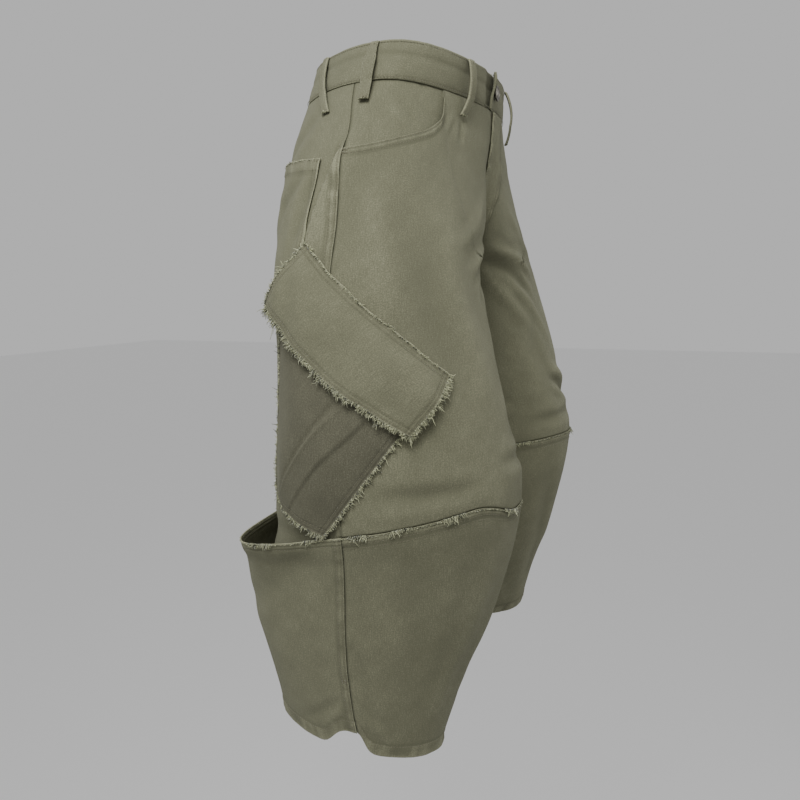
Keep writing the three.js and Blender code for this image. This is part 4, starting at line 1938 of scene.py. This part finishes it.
    def _sew(self) -> None:
        """Sew every row of stitches of this half."""
        sew = self.needle.row
        line = lambda name, edge, inset: self.pieces[name].line(edge, inset)
        for inset in RELIEF.lap_stitches:
            sew(line("upper_back", Edge.START, inset).part(0.15, 0.85))
            sew(line("lower_back", Edge.START, inset))
            sew(line("upper_front", Edge.TOP, inset).part(0.0, self.scoop_end - 0.02))
            sew(line("lower_front", Edge.TOP, inset + 5))
            if self.side is Side.LEFT:
                sew(line("upper_front", Edge.END, inset))
                sew(line("upper_back", Edge.END, inset))
        for name, edge, inset in (
            ("lower_front", Edge.FOOT, RELIEF.hem_stitches),
            ("lower_back", Edge.FOOT, RELIEF.hem_stitches),
            ("lower_back", Edge.TOP, 8.4),
            ("back_pocket", Edge.TOP, 3.0),
            ("back_pocket", Edge.TOP, RELIEF.hem_stitches),
            ("back_pocket", Edge.START, 3.0),
            ("back_pocket", Edge.END, 3.0),
            ("back_pocket", Edge.FOOT, 3.0),
        ):
            sew(line(name, edge, inset), 0.02)
        for edge in Edge:
            for inset in RELIEF.raw_stitches:
                sew(line("cargo_flap", edge, inset), 0.03)
            sew(line("cargo_pocket", edge, RELIEF.raw_stitches[-1]), 0.03)
        seam = line("lower_back", Edge.START, 4.7)
        self.needle.bar(seam, seam.lengths()[-1] - 62, 9)
        pocket = line("upper_front", Edge.TOP, 4.7)
        self.needle.bar(pocket, 5.0, 9)

    def _fray(self) -> None:
        """Fray every raw edge of this half, thicker where it has come loose."""
        fray = self.fringe.fray
        line = lambda name, edge: self.pieces[name].line(edge, 0.4)
        for edge, reach in ((Edge.FOOT, 9.0), (Edge.END, 9.5), (Edge.START, 9.0)):
            for layer_reach, every, stray, thick in ((1.0, 0.62, 0.08, 0.5), (0.62, 0.46, 0.0, 0.68)):
                fray(line("cargo_flap", edge), reach * layer_reach, every, stray, thick)
        fray(line("cargo_flap", Edge.TOP), 2.6, 0.5, 0.0, 0.7)
        for start, end in ((0.02, 0.1), (0.2, 0.26), (0.38, 0.46), (0.57, 0.64), (0.8, 0.86)):
            fray(line("cargo_flap", Edge.TOP).part(start, end), 5.0, 0.34, 0.05, 0.6)
        for edge, reach in ((Edge.END, 8.0), (Edge.FOOT, 7.5), (Edge.START, 7.5)):
            for layer_reach, every, stray, thick in ((1.0, 0.68, 0.08, 0.5), (0.6, 0.52, 0.0, 0.68)):
                fray(line("cargo_pocket", edge), reach * layer_reach, every, stray, thick)
        fray(line("back_pocket", Edge.TOP), 1.6, 0.8, 0.0, 0.45)
        fray(line("back_pocket", Edge.TOP).part(0.06, 0.2), 4.0, 0.45)
        fray(line("back_pocket", Edge.TOP).part(0.62, 0.7), 3.4, 0.5)
        knee = line("lower_front", Edge.TOP)
        fray(knee, 2.0, 0.85, 0.0, 0.6)
        for start, end in self.knee_clumps:
            fray(knee.part(start, end).hanging(), 7.5, 0.26, 0.1, 0.6)
        rim = line("lower_back", Edge.TOP)
        fray(rim, 1.8, 0.95, 0.0, 0.55)
        for start, end in ((0.5, 0.56), (0.72, 0.8)):
            fray(rim.part(start, end), 6.0, 0.28, 0.1, 0.6)
        for start, end in ((0.06, 0.1), (0.17, 0.25)):
            fray(rim.part(start, end).hanging(), 7.0, 0.26, 0.1, 0.6)


@dataclass
class Waistband:
    """The waistband: one doubled strip round the body whose left end laps over the right end."""

    depth: float = 40.0
    thickness: float = 2.4
    overlap: float = 18.0
    underlap: float = 22.0
    step: float = 3.0
    step_run: float = 16.0
    columns: int = 330
    around: float = 830.0
    stitch_inset: float = 2.4

    def point(self, turn: Array, level: Array, offset: Amount) -> Array:
        """Points of the band, turn 0 at its right end under the left front and 1 at its left end.

        Args:
            turn: share of the way round.
            level: height of the section's middle.
            offset: distance out from the band.

        Returns:
            Points in millimetres.
        """
        per_degree = smooth_at(FORM.sections, "outward", level) * math.pi / 180
        overlap, underlap = self.overlap / per_degree, self.underlap / per_degree
        swing = turn * (360 + overlap + underlap)
        since = (swing - underlap - overlap) * per_degree
        step = self.step * (1 - ramp(since / self.step_run))
        points = FORM.point(level, 90 + underlap - swing, offset - step)
        points[..., 0] *= -1
        return points

    def _turns(self) -> Array:
        """Shares round the band, close together at its left end.

        Returns:
            The shares.
        """
        even = np.linspace(0, 1, self.columns + 1)
        close = 1 - np.linspace(0, 0.03, 25)
        return np.unique(np.concatenate([even[even < 0.969], close]))

    def build(self, needle: Stitching) -> None:
        """Build the strip and sew its edges.

        Args:
            needle: stitching to sew with.
        """
        turn, down = np.meshgrid(self._turns(), graded(self.depth, 2.6, True, True))
        level = -(self.depth - FORM.seam_gap / 2) * down
        away = np.minimum(down, 1 - down) * self.depth
        along = turn * self.around
        wave = 0.7 * Ripple(5, 38).at(along) * (1 - down) + 0.35 * Ripple(6, 9).at(along) * np.exp(-away / 5)
        crease = -0.55 * bell(down - 0.42 - 0.12 * Ripple(8, 120).at(along), 0.07)
        dips = 0.35 * bell(away - self.stitch_inset, 1.0)
        roll = -0.8 * np.exp(-away / 0.8)
        to_end = (1 - turn) * self.around
        curl = 5.5 * bell(to_end, 8) * (0.75 + 0.35 * np.sin(down * 5.2 + 0.4))
        rim = 1.4 * np.exp(-to_end / 2.0)
        ledge = -0.7 * ramp((down - 0.75) / 0.25)
        offset = wave + crease - dips + roll + rim + ledge
        outer = self.point(turn, level, self.thickness / 2 + offset + curl)
        inner = self.point(turn, level, -self.thickness / 2 + offset * 0.5 + curl)
        # painted shade in the middle crease and under the stitch rows, painted highlight and shade following
        # the waves; the edges faded pale by wear
        wear = np.clip(crease * 0.5 + 0.5 * np.exp(-away / 1.2) - dips * 0.6 + 0.2 * wave, -1, 1)
        made = make_shell("waistband", (outer, inner), Side.RIGHT, CANVAS, (along, down * self.depth), wear)
        place = np.linspace(0, 1, 500)
        for drop in (self.stitch_inset, self.depth - self.stitch_inset):
            level = np.full_like(place, -drop)
            points = self.point(place, level, self.thickness / 2 + 0.1)
            over = self.point(place, level, self.thickness / 2 + 1.1)
            low = self.point(place, level - 1, self.thickness / 2 + 0.1)
            needle.row(Strand(points, unit(over - points), unit(points - low)))


@dataclass
class BeltLoops:
    """The seven belt loops, each a folded strip sewn down at both ends."""

    width: float = 10.0
    thickness: float = 2.6
    top: float = -1.0
    base: float = 2.7
    places: tuple = (
        ("belt_loop_front_right", Side.RIGHT, 62, 63, -61, 6.5),
        ("belt_loop_side_right", Side.RIGHT, -1, 4, -61, 4.5),
        ("belt_loop_back_right", Side.RIGHT, -33, -16, -69, 4.0),
        ("belt_loop_centre_back", Side.RIGHT, -90, -93.5, -61, 5.0),
        ("belt_loop_back_left", Side.LEFT, -33, -16, -69, 4.0),
        ("belt_loop_side_left", Side.LEFT, -1, 4, -61, 5.0),
        ("belt_loop_front_left", Side.LEFT, 62, 63, -61, 9.0),
    )

    def build(self, needle: Stitching, fringe: Fringe) -> None:
        """Build every loop, tack its ends and fray its foot."""
        for place in self.places:
            self._loop(*place, needle, fringe)

    def _loop(
        self,
        name: str,
        side: Side,
        angle: float,
        foot_angle: float,
        foot: float,
        arch: float,
        needle: Stitching,
        fringe: Fringe,
    ) -> None:
        """Build one loop.

        Args:
            name: the piece's name.
            side: half of the garment.
            angle: place of its top round the leg.
            foot_angle: place of its foot.
            foot: level of its foot.
            arch: how far its middle stands off.
            needle: stitching to sew with.
            fringe: fringe to fray with.
        """
        edges = np.array([-1, -0.93, -0.8, -0.5, -0.2, 0.2, 0.5, 0.8, 0.93, 1]) * self.width / 2
        drops = np.linspace(0, 1, 46)
        across, down = np.meshgrid(edges, drops)
        level = self.top + (foot - self.top) * down
        middle = angle + (foot_angle - angle) * down
        one = FORM.point(level, middle - 0.5, 0.0)
        other = FORM.point(level, middle + 0.5, 0.0)
        per_degree = np.hypot(*(other - one)[..., :2].transpose(2, 0, 1))
        lift = self.base + arch * np.sin(np.pi * down) ** 0.8
        ridge = 0.35 * bell(np.abs(across) - 2.6, 0.9) - 0.9 * (np.abs(across) / 5) ** 6
        faces = []
        for sign in (1, -1):
            points = FORM.point(
                level,
                middle + across / per_degree,
                lift + sign * self.thickness / 2 + (ridge if sign > 0 else 0),
            )
            points[..., 0] *= side.value
            faces.append(points)
        outer, inner = faces
        wear = np.clip(0.7 * (np.abs(across) / 5) ** 6 + 0.4 * np.exp(-down * 14), 0, 1)
        made = make_shell(name, (outer, inner), side, CANVAS, (across, -level), wear)
        (self.top - foot) * 1.1 * MM
        out = unit(outer - inner)
        for column in (2, 7):
            past = unit(np.repeat((outer[:1, -1] - outer[:1, 0]), len(outer), axis=0))
            needle.row(Strand(outer[:, column], out[:, column], past))
        for row in (2, 43):
            span = outer[row, 1:-1]
            way = np.repeat(unit(outer[row + 1, :1] - outer[row, :1]), len(span), axis=0)
            for pass_back in range(3):
                needle.row(Strand(span + way * 0.5 * pass_back, out[row, 1:-1], way))
        end = Strand(outer[-1], out[-1], unit(outer[-1] - outer[-2]))
        fringe.fray(end, 2.6, 0.5)


@dataclass
class Fly:
    """The fly: placket, shield, zip tape and teeth, slider, pull tab and the waist button."""

    length: float = 150.0
    top: float = -41.15
    valley_reach: float = 6.0

    def front(self, level: Array, x: Array, offset: Array) -> Array:
        """Points of the front at distances from the centre line, moved out of the cloth.

        Args:
            level: height of the section's middle.
            x: distance from the centre line.
            offset: distance out from the form.

        Returns:
            Points in millimetres.
        """
        away = np.abs(x)
        centre = smooth_at(FORM.sections, "centre", level)
        outward = smooth_at(FORM.sections, "outward", level)
        inward = smooth_at(FORM.sections, "inward", level)
        cosine = (away - centre) / np.where(away >= centre, outward, inward)
        offset = offset + FORM.fly_valley(level, away)
        points = FORM.point(level, np.degrees(np.arccos(cosine)), offset)
        points[..., 0] = away + (points[..., 0] - away) * np.minimum(1, away / self.valley_reach)
        points[..., 0] *= np.where(x < 0, -1, 1)
        return points

    def _strip(
        self,
        name: str,
        finish: Finish,
        past: float,
        width: float,
        offset: float,
        thickness: float,
        length: float,
        taper: float = 0.0,
        relief: float = 0.0,
    ) -> tuple[Array, Array]:
        """Build one of the long strips of the fly.

        Args:
            name: the piece's name.
            finish: material of the piece.
            past: how far it goes past the centre line to the right.
            width: how far it goes to the left.
            offset: distance out from the form.
            thickness: thickness of the cloth.
            length: length of the strip.
            taper: how much it narrows down to the crotch.
            relief: height of its puckers.

        Returns:
            Its outer points and the ways out of the cloth.
        """
        columns, rows = 30, 70
        across, down = np.meshgrid(np.linspace(0, 1, columns), np.linspace(0, 1, rows))
        level = self.top - length * down
        right = -past + (past + FORM.seam_gap) * ramp(taper * down * 2)
        left = width * (1 - 1.35 * taper * ramp((down - 0.3) / 0.7))
        x = right + (left - right) * across
        near_edge = bell(across, 0.2)
        pucker = relief * (1.6 + 1.1 * Ripple(71, 6.0).at(down * length)) * near_edge
        pucker = pucker + relief * 0.5 * np.sin(np.pi * across) - relief * 0.6 * bell(across - 0.85, 0.04)
        pucker = pucker + relief * 0.7 * Ripple(73, 7.0).at(down * length) * bell(across - 0.95, 0.2)
        outer = self.front(level, x, offset + thickness / 2 + pucker)
        inner = self.front(level, x, offset - thickness / 2 + pucker * 0.6)
        # painted highlight on the raised puckers and painted shade in the sunk ones and the groove near the far
        # edge; the folded edge faded pale by wear
        wear = pucker * 0.4 + 0.4 * np.exp(-across * 18)
        made = make_shell(name, (outer, inner), Side.LEFT, finish, (x, down * length), wear)
        area = grid_area(outer)
        wide = float(np.linalg.norm(np.diff(outer[0], axis=0), axis=1).sum())
        long = float(np.linalg.norm(np.diff(outer[:, -1], axis=0), axis=1).sum())
        long = max(long, area / wide)
        return outer, unit(outer - inner)

    def build(self, needle: Stitching) -> None:
        """Build the fly from the outside in.

        Args:
            needle: stitching to sew with.
        """
        outer, out = self._strip("fly_placket", CANVAS, 7, 34, 1.7, 1.2, self.length, taper=0.55, relief=0.9)
        for column in (3, 25):
            past = unit(outer[:, 0] - outer[:, -1])
            needle.row(Strand(outer[:, column], out[:, column], past), 0.02)
        self._strip("fly_shield", CANVAS, 16, 26, -7.2, 1.2, 118)
        self._strip("zip_tape", TAPE, 13, 13, -5.4, 0.8, 110)
        self._teeth()
        self._button()
        for node in ("zip_slider", "zip_pull_tab"):
            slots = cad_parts[node].data.materials
            slots.clear()
            slots.append(METAL.material())

    def _teeth(self) -> None:
        """Build the zip teeth, one by one to either side."""
        cube = np.array([[x, y, z] for x in (-1, 1) for y in (-1, 1) for z in (-1, 1)], float)
        pattern = [[0, 1, 3, 2], [4, 6, 7, 5], [0, 4, 5, 1], [2, 3, 7, 6], [0, 2, 6, 4], [1, 5, 7, 3]]
        size = np.array([1.5, 0.6, 0.45])
        points, faces = [], []
        for index in range(50):
            level = np.array([self.top - 24 - index * 1.7])
            middle = self.front(level, np.array([0.0]), np.array([-4.3]))[0]
            side = 0.8 if index % 2 else -0.8
            points.append(cube * size + middle + np.array([side, 0, 0]))
            faces.append(np.array(pattern) + len(cube) * index)
        make_object("zip_teeth", np.concatenate(points), np.concatenate(faces), METAL, smooth=False)

    def _button(self) -> None:
        """Turn the tack button: a rolled rim round a shallow dome."""
        low, high = (np.array(corner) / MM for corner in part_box("waist_button"))
        middle = (low + high) / 2
        radius = (high[0] - low[0]) / 2
        depth = high[1] - low[1]
        profile = (
            (0.0, 0.0),
            (0.46, 0.0),
            (0.46, 0.34),
            (0.9, 0.36),
            (0.985, 0.48),
            (1.0, 0.62),
            (0.96, 0.8),
            (0.88, 0.9),
            (0.8, 0.86),
            (0.72, 0.74),
            (0.62, 0.72),
            (0.52, 0.8),
            (0.3, 0.93),
            (0.0, 1.0),
        )
        turns = 56
        rings = []
        for reach, rise in profile:
            angle = np.arange(turns) * math.tau / turns
            spoke = reach * radius
            rings.append(
                np.stack(
                    [
                        middle[0] + spoke * np.cos(angle),
                        np.full(turns, high[1] - rise * depth),
                        middle[2] + spoke * np.sin(angle),
                    ],
                    axis=1,
                )
            )
        number = np.arange(turns)
        faces = []
        for ring in range(len(profile) - 1):
            a, b = ring * turns + number, ring * turns + (number + 1) % turns
            faces.append(np.stack([a, b, b + turns, a + turns], axis=1))
        made = make_object("waist_button_metal", np.concatenate(rings), np.concatenate(faces), METAL)
        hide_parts("waist_button")


# ------------------------------------------------------------------ stage


@dataclass(frozen=True)
class Studio:
    """Pale floor, soft light and the camera."""

    azimuth: float = -66.86
    elevation: float = 9.69
    roll: float = -0.93
    distance: float = 0.8646
    lens: float = 29.71
    shift_x: float = -0.0211
    aim_drop: float = 0.0209
    floor_drop: float = 2.4
    world_light: float = 0.55

    def build(self) -> None:
        """Build the floor, the lights and the camera."""
        low, high = (Vector(corner) for corner in CAD_BOX)
        self._floor(low.z - self.floor_drop)
        self._lights(low, high)
        self._camera((low.z + high.z) / 2)

    def _floor(self, height: float) -> None:
        """Lay the floor.

        Args:
            height: the floor's height.
        """
        reach = 30.0
        corners = [(x * reach, y * reach, height) for x, y in ((-1, -1), (1, -1), (1, 1), (-1, 1))]
        mesh = bpy.data.meshes.new("floor")
        mesh.from_pydata(corners, [], [(0, 1, 2, 3)])
        floor = bpy.data.objects.new("floor", mesh)
        bpy.context.collection.objects.link(floor)
        mesh.materials.append(PaleGround("pale_floor", "canvas").material())

    def _lights(self, low: Vector, high: Vector) -> None:
        """Set the even room light and three soft lamps.

        Args:
            low: lowest corner of the part's box.
            high: highest corner.
        """
        world = bpy.data.worlds.new("studio")
        bpy.context.scene.world = world
        world.use_nodes = True
        background = world.node_tree.nodes["Background"]
        background.inputs["Color"].default_value = (1.0, 1.0, 1.0, 1.0)
        background.inputs["Strength"].default_value = self.world_light
        middle = (low + high) / 2
        for name, place, size, power in (
            ("key", (-1.3, -0.2, 1.45), 0.9, 47.0),
            ("fill", (-1.9, 0.9, 0.8), 1.2, 3.0),
            ("rim", (1.6, -1.9, 0.9), 0.8, 20.0),
        ):
            light = bpy.data.lights.new(name, "AREA")
            light.energy, light.size = power, size
            lamp = bpy.data.objects.new(name, light)
            lamp.location = middle + Vector(place)
            lamp.rotation_euler = (middle - lamp.location).to_track_quat("-Z", "Y").to_euler()
            bpy.context.collection.objects.link(lamp)

    def _camera(self, middle_height: float) -> None:
        """Set the camera.

        Args:
            middle_height: height of the part's middle.
        """
        turn, tilt = math.radians(self.azimuth), math.radians(self.elevation)
        back = Vector((math.sin(turn) * math.cos(tilt), -math.cos(turn) * math.cos(tilt), math.sin(tilt)))
        right = (-back).cross(Vector((0, 0, 1))).normalized()
        up = right.cross(-back)
        roll = math.radians(self.roll)
        right, up = (
            math.cos(roll) * right + math.sin(roll) * up,
            -math.sin(roll) * right + math.cos(roll) * up,
        )
        data = bpy.data.cameras.new("camera")
        data.lens, data.sensor_width, data.shift_x = self.lens, 36.0, self.shift_x
        data.clip_start, data.clip_end = 0.01, 200.0
        camera = bpy.data.objects.new("camera", data)
        place = Vector((0, 0, middle_height - self.aim_drop)) + back * self.distance
        camera.matrix_world = Matrix.Translation(place) @ Matrix((right, up, back)).transposed().to_4x4()
        bpy.context.collection.objects.link(camera)
        bpy.context.scene.camera = camera


def main() -> None:
    """Build the whole garment in order."""
    logging.basicConfig(level=logging.INFO, format="%(message)s")
    Studio().build()
    waist_needle = Stitching(7)
    waist_fringe = Fringe(8)
    Waistband().build(waist_needle)
    for side in Side:
        Leg(side).build()
    BeltLoops().build(waist_needle, waist_fringe)
    Fly().build(waist_needle)
    waist_needle.build("stitching_waist", THREAD)
    waist_fringe.build("frayed_edges_loops", FRAYED)


if __name__ == "__main__":
    main()
